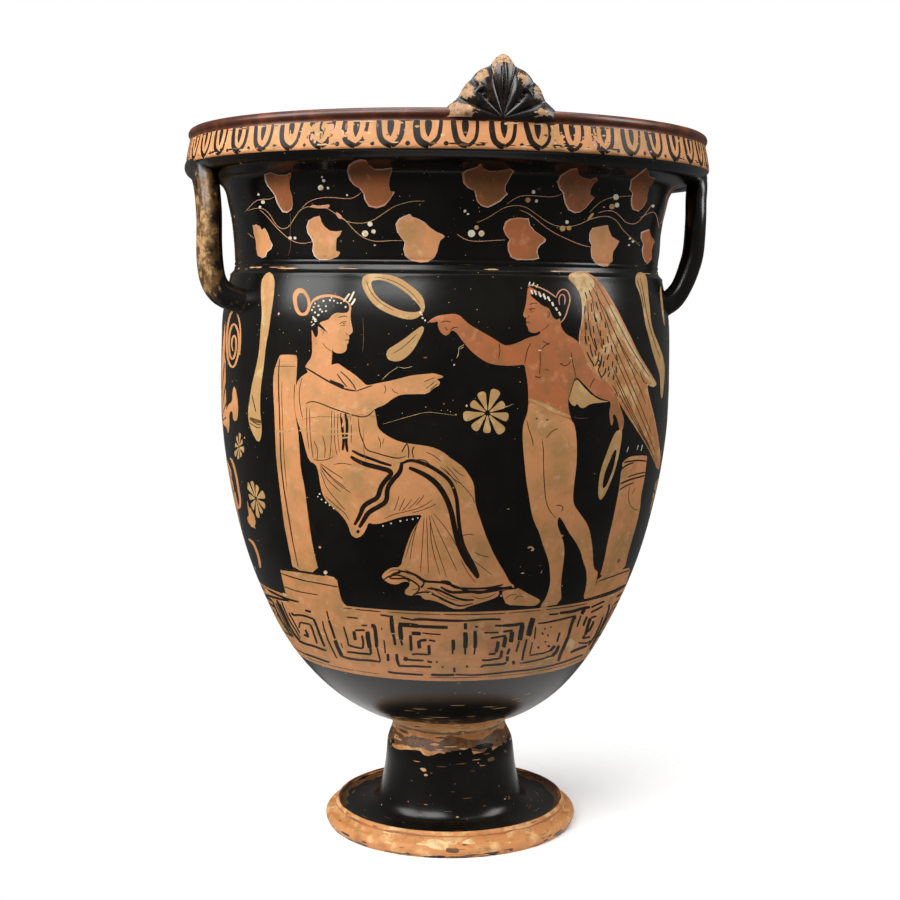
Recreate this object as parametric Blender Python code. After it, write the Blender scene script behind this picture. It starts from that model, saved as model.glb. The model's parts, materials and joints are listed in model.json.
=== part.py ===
"""Bell krater: a mixing bowl of fired clay on a moulded foot, with two loop handles and palmettes on the rim.

The whole vessel is one ceramic piece. It is turned about +Z, stands on z = 0, and has its front at -Y
and its handles at +X and -X. Sizes are in metres.
"""

import math

import bmesh
import bpy
from mathutils import Matrix, Vector

# Foot: a flat dish with a rolled edge, on a plain resting ring.
FOOT_RADIUS = 0.0938
FOOT_LIP_RADIUS = 0.0842
FOOT_LIP_HEIGHT = 0.0165
FOOT_GROOVE_DEPTH = 0.0022
RESTING_RING_WIDTH = 0.0085
DISH_FLOOR_HEIGHT = 0.0118
DISH_FLOOR_RADIUS = 0.0715
UNDERSIDE_WALL = 0.0065

# Stem between the foot and the bowl.
STEM_BASE_RADIUS = 0.0560
STEM_RADIUS = 0.0472
STEM_HEIGHT = 0.0650
JOINT_RADIUS = 0.0425
JOINT_HEIGHT = 0.0110

# Bowl, from its underside round the belly to the shoulder.
BOWL_FOOT_RADIUS = 0.0464
BELLY_RADIUS = 0.1638
BOWL_HEIGHT = 0.2490
SHOULDER_RADIUS = 0.1570
SHOULDER_HEIGHT = 0.0770
BOWL_FLOOR = 0.0150
WALL = 0.0070

# Neck and overhanging rim.
LEDGE_DEPTH = 0.0034
LEDGE_HEIGHT = 0.0042
NECK_HEIGHT = 0.0480
NECK_FLARE = 0.0050
FLARE_HEIGHT = 0.0180
RIM_RADIUS = 0.1881
RIM_UNDERCUT = 0.0070
BAND_HEIGHT = 0.0168
BAND_LEAN = 0.0029
LIP_RADIUS = 0.0036
MOUTH_RADIUS = 0.1806

# Handles: an upright loop of round rod on each side, from the shoulder up to the rim.
ROD_RADIUS = 0.0076
ROOT_SWELL = 1.16
HANDLE_SPREAD = 0.0475
ROOT_SPREAD = 0.0510
HANDLE_REACH = 0.0218
ROOT_DROP = 0.0190
LEFT_ROOT_BOW = 0.0055
ARCH_CORNER = 0.0170
ARCH_SINK = 0.0020

# Palmettes that stand on the rim at the front and the back.
PALMETTE_HEIGHT = 0.0328
PALMETTE_HALF_WIDTH = 0.0287
PALMETTE_CROWN = 0.0040
PALMETTE_SKIRT = 0.0085
PALMETTE_THICKNESS = 0.0074
PALMETTE_SINK = 0.0060
PETAL_STEP = math.radians(27.0)
PETAL_RELIEF = 0.0026
PETAL_NOTCH = 0.0013
SCROLL_RADIUS = 0.0062
SCROLL_ROD = 0.0017
SCROLL_ACROSS = 0.0120
SCROLL_UP = 0.0060

# The bowl dried slightly out of true: it sits off the centre of the foot and leans a little.
BOWL_OFFSET = -0.0069
BOWL_LEAN = math.radians(0.74)

# Facets of the turned form and of the rods.
TURN_STEPS = 42
ROD_SIDES = 8
SCROLL_SIDES = 6
TINY = 1e-6

STEM_TOP = STEM_HEIGHT
BOWL_START = STEM_TOP + JOINT_HEIGHT + 0.0050
BELLY_LEVEL = BOWL_START + BOWL_HEIGHT - 0.0020
SHOULDER_LEVEL = BELLY_LEVEL + SHOULDER_HEIGHT
NECK_RADIUS = SHOULDER_RADIUS - LEDGE_DEPTH
NECK_START = SHOULDER_LEVEL + LEDGE_HEIGHT
NECK_TOP = NECK_START + NECK_HEIGHT
NECK_TOP_RADIUS = NECK_RADIUS + NECK_FLARE
BAND_START = NECK_TOP + FLARE_HEIGHT + RIM_UNDERCUT
BAND_TOP = BAND_START + BAND_HEIGHT
LIP_CENTRE = Vector((RIM_RADIUS - BAND_LEAN + 0.0010 - LIP_RADIUS, BAND_TOP + 0.0008 + LIP_RADIUS))
RIM_TOP = LIP_CENTRE.y + LIP_RADIUS

# Shares of the bowl's height and radius that its outline passes through, from the underside to the belly.
BOWL_SHAPE = (
    (0.0, 0.0),
    (0.036, 0.175),
    (0.108, 0.375),
    (0.222, 0.568),
    (0.368, 0.728),
    (0.522, 0.850),
    (0.704, 0.942),
    (0.870, 0.990),
    (1.0, 1.0),
)
BOWL_STEPS = 2
SHOULDER_SHAPE = ((0.52, 0.12), (0.76, 0.42), (1.0, 1.0))

# Shares of a handle's reach and rise that its legs pass through, and of the left handle's fuller bow.
LEG_SHAPE = (
    (0.245, 0.050, 0.75),
    (0.490, 0.110, 1.0),
    (0.680, 0.190, 0.95),
    (0.850, 0.300, 0.60),
    (0.980, 0.430, 0.20),
    (1.030, 0.650, 0.0),
)


def clear_scene() -> None:
    """Remove whatever the scene holds."""
    for obj in list(bpy.data.objects):
        bpy.data.objects.remove(obj, do_unlink=True)


def smooth_line(points, steps: int) -> list[Vector]:
    """Points of a Catmull-Rom curve through the given points, with steps spans between two of them."""
    points = [Vector(point) for point in points]
    padded = [points[0] * 2 - points[1], *points, points[-1] * 2 - points[-2]]
    line = []
    for a, b, c, d in zip(padded, padded[1:], padded[2:], padded[3:]):
        for step in range(steps):
            t = step / steps
            line.append(
                0.5 * (2 * b + (c - a) * t + (2 * a - 5 * b + 4 * c - d) * t**2 + (3 * b - a - 3 * c + d) * t**3)
            )
    return [*line, points[-1]]


def arc(centre: Vector, radius: float, start: float, end: float, steps: int) -> list[Vector]:
    """Points of a circular arc in the profile plane; angles are in degrees."""
    turns = [math.radians(start + (end - start) * step / steps) for step in range(steps + 1)]
    return [centre + Vector((math.cos(turn), math.sin(turn))) * radius for turn in turns]


def offset_line(line: list[Vector], distance: float) -> list[Vector]:
    """The line moved sideways by a distance, to the left of its direction."""
    moved = []
    for index, point in enumerate(line):
        before = line[max(index - 1, 0)]
        after = line[min(index + 1, len(line) - 1)]
        along = (after - before).normalized()
        moved.append(point + Vector((-along.y, along.x)) * distance)
    return moved


def lip_arc() -> list[Vector]:
    """The rolled lip, from its outer foot over the top to the mouth."""
    return arc(LIP_CENTRE, LIP_RADIUS, -50, 150, 4)


def band_line() -> list[Vector]:
    """The rim's outer face, from the lip's foot down to its sharp lower edge."""
    top = Vector((RIM_RADIUS - BAND_LEAN, BAND_TOP))
    foot = Vector((RIM_RADIUS, BAND_START))
    return [top, top.lerp(foot, 0.5) + Vector((0.0004, 0.0)), foot]


def flare_line() -> list[Vector]:
    """The rim's underside, from the band's lower edge in to the top of the neck."""
    return smooth_line(
        (
            (RIM_RADIUS, BAND_START),
            (RIM_RADIUS - 0.28 * (RIM_RADIUS - NECK_TOP_RADIUS), BAND_START - 0.9 * RIM_UNDERCUT),
            (NECK_TOP_RADIUS + 0.25 * (RIM_RADIUS - NECK_TOP_RADIUS), NECK_TOP + 0.80 * FLARE_HEIGHT),
            (NECK_TOP_RADIUS + 0.07 * (RIM_RADIUS - NECK_TOP_RADIUS), NECK_TOP + 0.45 * FLARE_HEIGHT),
            (NECK_TOP_RADIUS, NECK_TOP),
        ),
        2,
    )


def neck_line() -> list[Vector]:
    """The neck, from the flare down to the ledge."""
    return [
        Vector((NECK_RADIUS + 0.45 * NECK_FLARE, NECK_START + 0.72 * NECK_HEIGHT)),
        Vector((NECK_RADIUS + 0.12 * NECK_FLARE, NECK_START + 0.40 * NECK_HEIGHT)),
        Vector((NECK_RADIUS, NECK_START)),
    ]


def shoulder_line() -> list[Vector]:
    """The shoulder, from the ledge down to the belly, without the belly point."""
    fall = BELLY_RADIUS - SHOULDER_RADIUS
    line = [
        Vector((BELLY_RADIUS - fall * inward, BELLY_LEVEL + SHOULDER_HEIGHT * height))
        for height, inward in SHOULDER_SHAPE
    ]
    return smooth_line([*reversed(line), (BELLY_RADIUS, BELLY_LEVEL)], 2)[:-1]


def bowl_line() -> list[Vector]:
    """The bowl, from the belly down to its foot."""
    spread = BELLY_RADIUS - BOWL_FOOT_RADIUS
    rise = BELLY_LEVEL - BOWL_START
    line = [(BOWL_FOOT_RADIUS + spread * radius, BOWL_START + rise * height) for height, radius in BOWL_SHAPE]
    return smooth_line(list(reversed(line)), BOWL_STEPS)


def stem_line() -> list[Vector]:
    """The joint under the bowl, the rounded collar and the stem's flare into the dish."""
    groove = Vector((JOINT_RADIUS, STEM_TOP + 0.65 * JOINT_HEIGHT))
    drop = STEM_HEIGHT - DISH_FLOOR_HEIGHT
    spread = STEM_BASE_RADIUS - STEM_RADIUS
    return [
        groove + Vector((0.0, 0.35 * JOINT_HEIGHT)),
        groove,
        Vector((STEM_RADIUS - 0.0010, STEM_TOP - 0.0010)),
        Vector((STEM_RADIUS, STEM_TOP - 0.0065)),
        Vector((STEM_RADIUS + 0.16 * spread, STEM_TOP - 0.38 * drop)),
        Vector((STEM_RADIUS + 0.38 * spread, STEM_TOP - 0.60 * drop)),
        Vector((STEM_RADIUS + 0.68 * spread, STEM_TOP - 0.79 * drop)),
        Vector((STEM_BASE_RADIUS, STEM_TOP - 0.90 * drop)),
        Vector((STEM_BASE_RADIUS + 0.30 * (DISH_FLOOR_RADIUS - STEM_BASE_RADIUS), STEM_TOP - 0.965 * drop)),
        Vector((DISH_FLOOR_RADIUS, DISH_FLOOR_HEIGHT)),
    ]


def foot_line() -> list[Vector]:
    """The dish's raised lip and the foot's rolled edge, down to the floor."""
    rise = FOOT_LIP_HEIGHT - DISH_FLOOR_HEIGHT
    groove = Vector((FOOT_LIP_RADIUS + 0.32 * (FOOT_RADIUS - FOOT_LIP_RADIUS), 0.60 * FOOT_LIP_HEIGHT))
    roll = Vector((FOOT_RADIUS - 0.30 * FOOT_LIP_HEIGHT, 0.31 * FOOT_LIP_HEIGHT))
    return [
        Vector((FOOT_LIP_RADIUS - 0.0037, DISH_FLOOR_HEIGHT + 0.25 * rise)),
        Vector((FOOT_LIP_RADIUS - 0.0016, FOOT_LIP_HEIGHT - 0.0008)),
        Vector((FOOT_LIP_RADIUS, FOOT_LIP_HEIGHT)),
        Vector((groove.x + 0.2 * FOOT_GROOVE_DEPTH, groove.y + 0.45 * (FOOT_LIP_HEIGHT - groove.y))),
        groove,
        *arc(roll, 0.30 * FOOT_LIP_HEIGHT, 70, -50, 4),
        Vector((FOOT_RADIUS - 0.0022, 0.0)),
    ]


def outer_profile() -> list[Vector]:
    """The whole outside, from the axis above the rim down its outer side to the floor."""
    return [
        Vector((0.0, RIM_TOP - 0.0002)),
        *reversed(lip_arc()),
        *band_line(),
        *flare_line()[1:],
        *neck_line(),
        Vector((SHOULDER_RADIUS, SHOULDER_LEVEL + 0.0006)),
        *shoulder_line(),
        *bowl_line(),
        *stem_line(),
        *foot_line(),
        Vector((0.0, 0.0)),
    ]


def cavity_profile() -> list[Vector]:
    """The inside of the vessel, from above the mouth down to the bowl's floor."""
    above = RIM_TOP + PALMETTE_HEIGHT + 0.02
    mouth = lip_arc()[-1]
    core = smooth_line(
        (
            (MOUTH_RADIUS - 0.0030, BAND_TOP - 0.0070),
            (NECK_TOP_RADIUS + 0.10 * (RIM_RADIUS - NECK_TOP_RADIUS), NECK_TOP + 1.00 * FLARE_HEIGHT),
            (NECK_TOP_RADIUS - 0.0058, NECK_TOP + 0.45 * FLARE_HEIGHT),
            (NECK_TOP_RADIUS - WALL, NECK_TOP - 0.10 * NECK_HEIGHT),
        ),
        2,
    )
    bowl = offset_line([*shoulder_line()[::2], *bowl_line()[::2]], -WALL)
    floor = BOWL_START + BOWL_FLOOR
    bowl = [point for point in bowl if point.y > floor + 0.0030]
    return [
        Vector((0.0, above)),
        Vector((MOUTH_RADIUS, above)),
        Vector((MOUTH_RADIUS, mouth.y)),
        *core,
        Vector((NECK_RADIUS - WALL, NECK_START + 0.2 * NECK_HEIGHT)),
        *bowl,
        Vector((0.55 * bowl[-1].x, floor + 0.0008)),
        Vector((0.0, floor)),
    ]


def hollow_profile() -> list[Vector]:
    """The hollow under the foot, from its crown inside the stem down past the floor."""
    ring = FOOT_RADIUS - 0.0022 - RESTING_RING_WIDTH
    dish = DISH_FLOOR_HEIGHT - UNDERSIDE_WALL
    stem = STEM_RADIUS - 2.0 * UNDERSIDE_WALL
    crown = 0.86 * STEM_HEIGHT
    return [
        Vector((0.0, crown)),
        Vector((0.50 * stem, 0.95 * crown)),
        Vector((0.80 * stem, 0.76 * crown)),
        Vector((stem, 0.50 * crown)),
        Vector((STEM_BASE_RADIUS - 1.2 * UNDERSIDE_WALL, dish + 0.16 * crown)),
        Vector((DISH_FLOOR_RADIUS - 0.004, dish)),
        Vector((ring - 0.0020, 0.75 * dish)),
        Vector((ring + 0.0020, -0.010)),
        Vector((0.0, -0.010)),
    ]


def settle(point: Vector) -> Vector:
    """Where a point of the true form lies once the bowl has settled off the foot's centre."""
    low = 0.75 * STEM_HEIGHT
    high = BOWL_START + 0.30 * BOWL_HEIGHT
    share = min(max((point.z - low) / (high - low), 0.0), 1.0)
    share = share * share * (3 - 2 * share)
    pivot = Vector((0.0, 0.0, BOWL_START))
    leaned = Matrix.Rotation(BOWL_LEAN, 3, "Y") @ (point - pivot) + pivot + Vector((BOWL_OFFSET, 0.0, 0.0))
    return point.lerp(leaned, share)


def ceramic_material(name: str, colour: tuple, roughness: float) -> bpy.types.Material:
    """A fired clay finish."""
    material = bpy.data.materials.new(name)
    material.use_nodes = True
    shader = material.node_tree.nodes["Principled BSDF"]
    shader.inputs["Base Color"].default_value = (*colour, 1.0)
    shader.inputs["Roughness"].default_value = roughness
    shader.inputs["Metallic"].default_value = 0.0
    material.diffuse_color = (*colour, 1.0)
    return material


def mesh_object(name: str, form: bmesh.types.BMesh, material: bpy.types.Material) -> bpy.types.Object:
    """A settled, smooth-shaded object made from a bmesh."""
    for vertex in form.verts:
        vertex.co = settle(vertex.co)
    bmesh.ops.remove_doubles(form, verts=form.verts, dist=TINY)
    bmesh.ops.dissolve_degenerate(form, edges=form.edges, dist=TINY)
    bmesh.ops.recalc_face_normals(form, faces=form.faces)
    mesh = bpy.data.meshes.new(name)
    form.to_mesh(mesh)
    form.free()
    mesh.shade_smooth()
    mesh.set_sharp_from_angle(angle=math.radians(35))
    mesh.materials.append(material)
    obj = bpy.data.objects.new(name, mesh)
    bpy.context.scene.collection.objects.link(obj)
    return obj


def turned(name: str, profile: list[Vector], material: bpy.types.Material) -> bpy.types.Object:
    """A solid of revolution from a profile that starts and ends on the axis."""
    form = bmesh.new()
    verts = [form.verts.new((point.x, 0.0, point.y)) for point in profile]
    edges = [form.edges.new(pair) for pair in zip(verts, verts[1:])]
    bmesh.ops.spin(
        form,
        geom=verts + edges,
        cent=(0.0, 0.0, 0.0),
        axis=(0.0, 0.0, 1.0),
        angle=2 * math.pi,
        steps=TURN_STEPS,
        use_merge=True,
    )
    return mesh_object(name, form, material)


def rod(name: str, path: list, radii: list, sides: int, material: bpy.types.Material) -> bpy.types.Object:
    """A closed round rod along a path, with its own radius at each point."""
    form = bmesh.new()
    rings = []
    side = None
    for index, (point, radius) in enumerate(zip(path, radii)):
        along = (path[min(index + 1, len(path) - 1)] - path[max(index - 1, 0)]).normalized()
        side = along.orthogonal() if side is None else side - along * side.dot(along)
        side = side.normalized()
        other = along.cross(side)
        turns = [2 * math.pi * k / sides for k in range(sides)]
        rings.append([form.verts.new(point + (side * math.cos(t) + other * math.sin(t)) * radius) for t in turns])
    for low, high in zip(rings, rings[1:]):
        for k in range(sides):
            form.faces.new((low[k], low[(k + 1) % sides], high[(k + 1) % sides], high[k]))
    form.faces.new(list(reversed(rings[0])))
    form.faces.new(rings[-1])
    return mesh_object(name, form, material)


def handle(name: str, side: int, material: bpy.types.Material) -> bpy.types.Object:
    """A loop handle: two legs that rise from the shoulder and meet in an arch under the rim."""
    bow = LEFT_ROOT_BOW if side < 0 else 0.0
    arch = BAND_START - ARCH_SINK
    root = SHOULDER_LEVEL - ROOT_DROP
    rise = arch - root
    leg = [(SHOULDER_RADIUS - 0.0035, root - 0.2 * bow, ROOT_SPREAD)]
    for outward, upward, bowed in LEG_SHAPE:
        radius = SHOULDER_RADIUS + HANDLE_REACH * outward + bow * bowed
        leg.append((radius, root + rise * upward - 0.3 * bow * bowed, ROOT_SPREAD))
    reach = SHOULDER_RADIUS + HANDLE_REACH
    corner = [
        (
            reach + 0.0008 + 0.0017 * share,
            HANDLE_SPREAD - ARCH_CORNER + ARCH_CORNER * math.cos(share * math.pi / 2),
            arch - ARCH_CORNER + ARCH_CORNER * math.sin(share * math.pi / 2),
        )
        for share in (0.0, 0.33, 0.67, 1.0)
    ]
    half = [Vector((radius * math.cos(spread / radius), spread, height)) for radius, height, spread in leg]
    half += [Vector((radius * math.cos(spread / radius), spread, height)) for radius, spread, height in corner]
    crown = Vector((reach + 0.0025, 0.0, arch))
    mirrored = [Vector((point.x, -point.y, point.z)) for point in reversed(half)]
    path = smooth_line([Vector((side * p.x, p.y, p.z)) for p in [*half, crown, *mirrored]], 1)
    last = len(path) - 1
    ends = [min(index, last - index) / last for index in range(last + 1)]
    radii = [ROD_RADIUS * (1 + (ROOT_SWELL - 1) * max(0.0, 1 - end / 0.12)) for end in ends]
    return rod(name, path, radii, ROD_SIDES, material)


def on_rim(across: float, up: float, out: float, front: int) -> Vector:
    """A point of a palmette: across and up its face, and out from the rim's centre line."""
    radius = LIP_CENTRE.x + out
    turn = across / LIP_CENTRE.x
    return Vector((radius * math.sin(turn), -front * radius * math.cos(turn), RIM_TOP + up))


def palmette_reach(from_top: float) -> float:
    """How far the palmette's outline lies from the foot of its fan, at an angle from the upright petal."""
    knob = PALMETTE_HEIGHT + PALMETTE_SINK - PALMETTE_HALF_WIDTH - PALMETTE_CROWN
    reach = PALMETTE_HALF_WIDTH + PALMETTE_CROWN * math.cos(from_top) ** 2
    reach += knob * math.exp(-((from_top / 0.20) ** 2))
    return reach + PALMETTE_SKIRT * math.exp(-(((math.pi / 2 - from_top) / 0.28) ** 2))


def petal_fan(name: str, front: int, material: bpy.types.Material) -> bpy.types.Object:
    """A palmette's fan of petals, thicker along the middle of each petal."""
    rows, turns = 3, 26
    form = bmesh.new()
    faces_of = {1: [], -1: []}
    for face in (1, -1):
        for row in range(rows + 1):
            share = row / rows
            ring = []
            for step in range(turns + 1):
                turn = math.pi * step / turns
                from_top = abs(turn - math.pi / 2)
                petal = abs(math.cos(math.pi * from_top / PETAL_STEP))
                reach = palmette_reach(from_top) - PETAL_NOTCH * (1 - petal) * math.sin(turn)
                relief = PETAL_RELIEF * petal * math.sin(math.pi * min(share**1.4, 0.92)) if face > 0 else 0.0
                across = reach * share * math.cos(turn)
                up = reach * share * math.sin(turn) - PALMETTE_SINK
                out = face * PALMETTE_THICKNESS / 2 * (1 - 0.45 * share**4) + relief
                ring.append(form.verts.new(on_rim(across, up, out, front)))
            faces_of[face].append(ring)
    for rings in faces_of.values():
        for low, high in zip(rings, rings[1:]):
            for a, b, c, d in zip(low, low[1:], high[1:], high):
                form.faces.new((a, b, c, d))
    edge = faces_of[1][-1] + [ring[-1] for ring in reversed(faces_of[1][:-1])]
    edge += [ring[0] for ring in faces_of[1][1:-1]]
    back = faces_of[-1][-1] + [ring[-1] for ring in reversed(faces_of[-1][:-1])]
    back += [ring[0] for ring in faces_of[-1][1:-1]]
    count = len(edge)
    for k in range(count):
        form.faces.new((edge[k], edge[(k + 1) % count], back[(k + 1) % count], back[k]))
    return mesh_object(name, form, material)


def scroll(name: str, front: int, side: int, material: bpy.types.Material) -> bpy.types.Object:
    """One of the two volutes at the foot of a palmette."""
    steps = 10
    path = []
    for step in range(steps + 1):
        share = step / steps
        radius = SCROLL_RADIUS * (1 - 0.80 * share)
        turn = math.radians(100 - 400 * share)
        across = side * (SCROLL_ACROSS + radius * math.cos(turn))
        path.append(on_rim(across, SCROLL_UP + radius * math.sin(turn), PALMETTE_THICKNESS / 2, front))
    return rod(name, path, [SCROLL_ROD] * len(path), SCROLL_SIDES, material)


def helper(obj: bpy.types.Object) -> bpy.types.Object:
    """Keep an object only as the operand of a Boolean."""
    obj.hide_render = True
    obj.display_type = "WIRE"
    return obj


def combine(target: bpy.types.Object, tool: bpy.types.Object, operation: str) -> None:
    """Join a tool to the target, or cut it away."""
    modifier = target.modifiers.new(f"{operation.title()} {tool.name}", "BOOLEAN")
    modifier.operation = operation
    modifier.solver = "EXACT"
    modifier.object = helper(tool)


def main() -> None:
    """Build the krater."""
    clear_scene()
    gloss = ceramic_material("Black gloss ceramic", (0.012, 0.010, 0.009), 0.28)
    krater = turned("bell_krater", outer_profile(), gloss)
    for label, side in (("right", 1), ("left", -1)):
        combine(krater, handle(f"{label}_handle_form", side, gloss), "UNION")
    for label, front in (("front", 1), ("back", -1)):
        combine(krater, petal_fan(f"{label}_palmette_form", front, gloss), "UNION")
        for hand, side in (("right", 1), ("left", -1)):
            combine(krater, scroll(f"{label}_{hand}_scroll_form", front, side, gloss), "UNION")
    combine(krater, turned("cavity_cutter", cavity_profile(), gloss), "DIFFERENCE")
    combine(krater, turned("foot_hollow_cutter", hollow_profile(), gloss), "DIFFERENCE")


if __name__ == "__main__":
    main()
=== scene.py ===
"""Bell krater: a fired clay mixing bowl, black-glossed and painted in the red-figure way, on a pale floor.

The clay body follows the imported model: a turned vessel whose bowl sits a little off its foot and leans, with
two loop handles and two palmettes on the rim. The painting is cut into the surface of the mesh: every painted
shape is an outline laid on an unrolled sheet of the vessel, and each face takes the slip or paint of the
topmost shape. The outlines are drawn points, as text: on the front in the units of a picture of 900 by 900,
seen from the viewpoint, and elsewhere in millimetres.
"""

from __future__ import annotations

import json
import logging
import math
from dataclasses import dataclass, field
from enum import IntEnum
from typing import Protocol, Sequence

import bpy
import numpy as np
from mathutils import Matrix, Vector
from mathutils.geometry import delaunay_2d_cdt

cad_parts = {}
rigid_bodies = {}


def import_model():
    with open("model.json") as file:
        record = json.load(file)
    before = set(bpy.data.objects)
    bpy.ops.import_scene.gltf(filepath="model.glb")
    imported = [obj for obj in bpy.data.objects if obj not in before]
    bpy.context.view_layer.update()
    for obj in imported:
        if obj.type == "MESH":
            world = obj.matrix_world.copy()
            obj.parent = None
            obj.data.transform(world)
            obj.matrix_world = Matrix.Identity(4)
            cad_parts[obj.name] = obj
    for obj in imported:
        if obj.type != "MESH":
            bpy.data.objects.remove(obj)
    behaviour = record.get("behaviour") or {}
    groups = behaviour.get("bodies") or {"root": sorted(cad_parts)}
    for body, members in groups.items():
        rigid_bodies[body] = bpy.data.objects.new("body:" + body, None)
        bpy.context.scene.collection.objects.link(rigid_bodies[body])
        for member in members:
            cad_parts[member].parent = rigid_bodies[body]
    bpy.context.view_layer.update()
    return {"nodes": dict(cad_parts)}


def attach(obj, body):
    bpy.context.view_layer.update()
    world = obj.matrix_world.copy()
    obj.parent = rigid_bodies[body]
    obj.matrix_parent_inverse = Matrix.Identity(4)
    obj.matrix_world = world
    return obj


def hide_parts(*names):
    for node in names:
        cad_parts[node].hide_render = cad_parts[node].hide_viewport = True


log = logging.getLogger("bell_krater")

MM = 0.001
TINY = 1e-9
SAME_PLACE = 0.002 * MM
NODE = "bell_krater"
BODY = "root"


class Paint(IntEnum):
    """The finishes that share the body's mesh, in the order of its material slots."""

    GLOSS = 0
    CLAY = 1
    LINE = 2
    WHITE = 3
    LIP = 4
    BARE = 5
    CREAM = 6
    INSIDE = 7
    LEAF = 8
    ROSE = 9
    THIN = 10
    TAN = 11
    RUDDY = 12


def as_points(text: str) -> np.ndarray:
    """Read drawing points written as x,y pairs.

    Args:
        text: pairs parted by spaces, such as "10,20 12,24".

    Returns:
        The points, one row each.
    """
    return np.array([[float(number) for number in pair.split(",")] for pair in text.split()])


def parted(text: str) -> list[str]:
    """The drawn lines of a text that parts them with semicolons."""
    return [line.strip() for line in text.split(";")]


def soften(points: np.ndarray, closed: bool, rounds: int = 2) -> np.ndarray:
    """Round a drawn line's corners as a brush does, by cutting each one off.

    Args:
        points: the drawn points.
        closed: whether the line ends where it starts.
        rounds: how often the corners are cut.

    Returns:
        The softened line.
    """
    near, far = 0.75, 0.25
    for _ in range(rounds):
        after = np.roll(points, -1, axis=0) if closed else points[1:]
        before = points if closed else points[:-1]
        cut = np.stack([near * before + far * after, far * before + near * after], axis=1).reshape(-1, 2)
        points = cut if closed else np.vstack([points[:1], cut, points[-1:]])
    return points


def through(points: Sequence, steps: int) -> np.ndarray:
    """Points of a Catmull-Rom curve through the given points.

    Args:
        points: the points to pass through, in two or three dimensions.
        steps: spans between two of them.

    Returns:
        The curve's points.
    """
    points = np.array(points, float)
    padded = np.vstack([2 * points[0] - points[1], points, 2 * points[-1] - points[-2]])
    line = []
    for a, b, c, d in zip(padded, padded[1:], padded[2:], padded[3:]):
        for step in range(steps):
            t = step / steps
            curve = 2 * b + (c - a) * t + (2 * a - 5 * b + 4 * c - d) * t**2 + (3 * b - a - 3 * c + d) * t**3
            line.append(0.5 * curve)
    return np.array([*line, points[-1]])


def ribbon(points: np.ndarray, width: float, ends: float = 0.45) -> np.ndarray:
    """The outline of a brush stroke.

    Args:
        points: the stroke's middle line.
        width: its width at the middle.
        ends: its width at both ends, as a share of the middle's.

    Returns:
        The outline as a closed polygon.
    """
    taper, bluntness = 5, 0.6
    along = np.gradient(points, axis=0)
    along /= np.maximum(np.linalg.norm(along, axis=1, keepdims=True), TINY)
    side = np.stack([-along[:, 1], along[:, 0]], axis=1)
    share = np.linspace(0.0, 1.0, len(points))
    swell = ends + (1 - ends) * np.minimum(1.0, taper * np.minimum(share, 1 - share)) ** bluntness
    half = side * (0.5 * width * swell)[:, None]
    return np.vstack([points + half, (points - half)[::-1]])


def divided(outline: np.ndarray, step: float) -> np.ndarray:
    """The closed outline with its long sides cut into lengths of at most step."""
    points = []
    for start, end in zip(outline, np.roll(outline, -1, axis=0)):
        parts = max(1, math.ceil(float(np.linalg.norm(end - start)) / step))
        points += [start + (end - start) * part / parts for part in range(parts)]
    return np.array(points)


def thinned(outline: np.ndarray, slack: float) -> np.ndarray:
    """The closed outline without points that stand less than slack off the line between their neighbours."""
    passes, fewest = 4, 8
    for part in range(passes):
        if len(outline) < fewest:
            break
        before = np.roll(outline, 1, axis=0)
        along = np.roll(outline, -1, axis=0) - before
        reach = np.maximum(np.linalg.norm(along, axis=1), TINY)
        rise = outline - before
        off = np.abs(along[:, 0] * rise[:, 1] - along[:, 1] * rise[:, 0]) / reach
        outline = outline[(off >= slack) | (np.arange(len(outline)) % 2 == part % 2)]
    return outline


def circle(corners: int) -> np.ndarray:
    """The corners of a circle of radius one, from the right and anticlockwise."""
    turns = np.linspace(0, 2 * math.pi, corners + 1)[:-1]
    return np.stack([np.cos(turns), np.sin(turns)], axis=1)


def turned_to(points: np.ndarray, degrees: float) -> np.ndarray:
    """The points turned about the origin, anticlockwise."""
    turn = math.radians(degrees)
    return points @ np.array([[math.cos(turn), math.sin(turn)], [-math.sin(turn), math.cos(turn)]])


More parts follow.
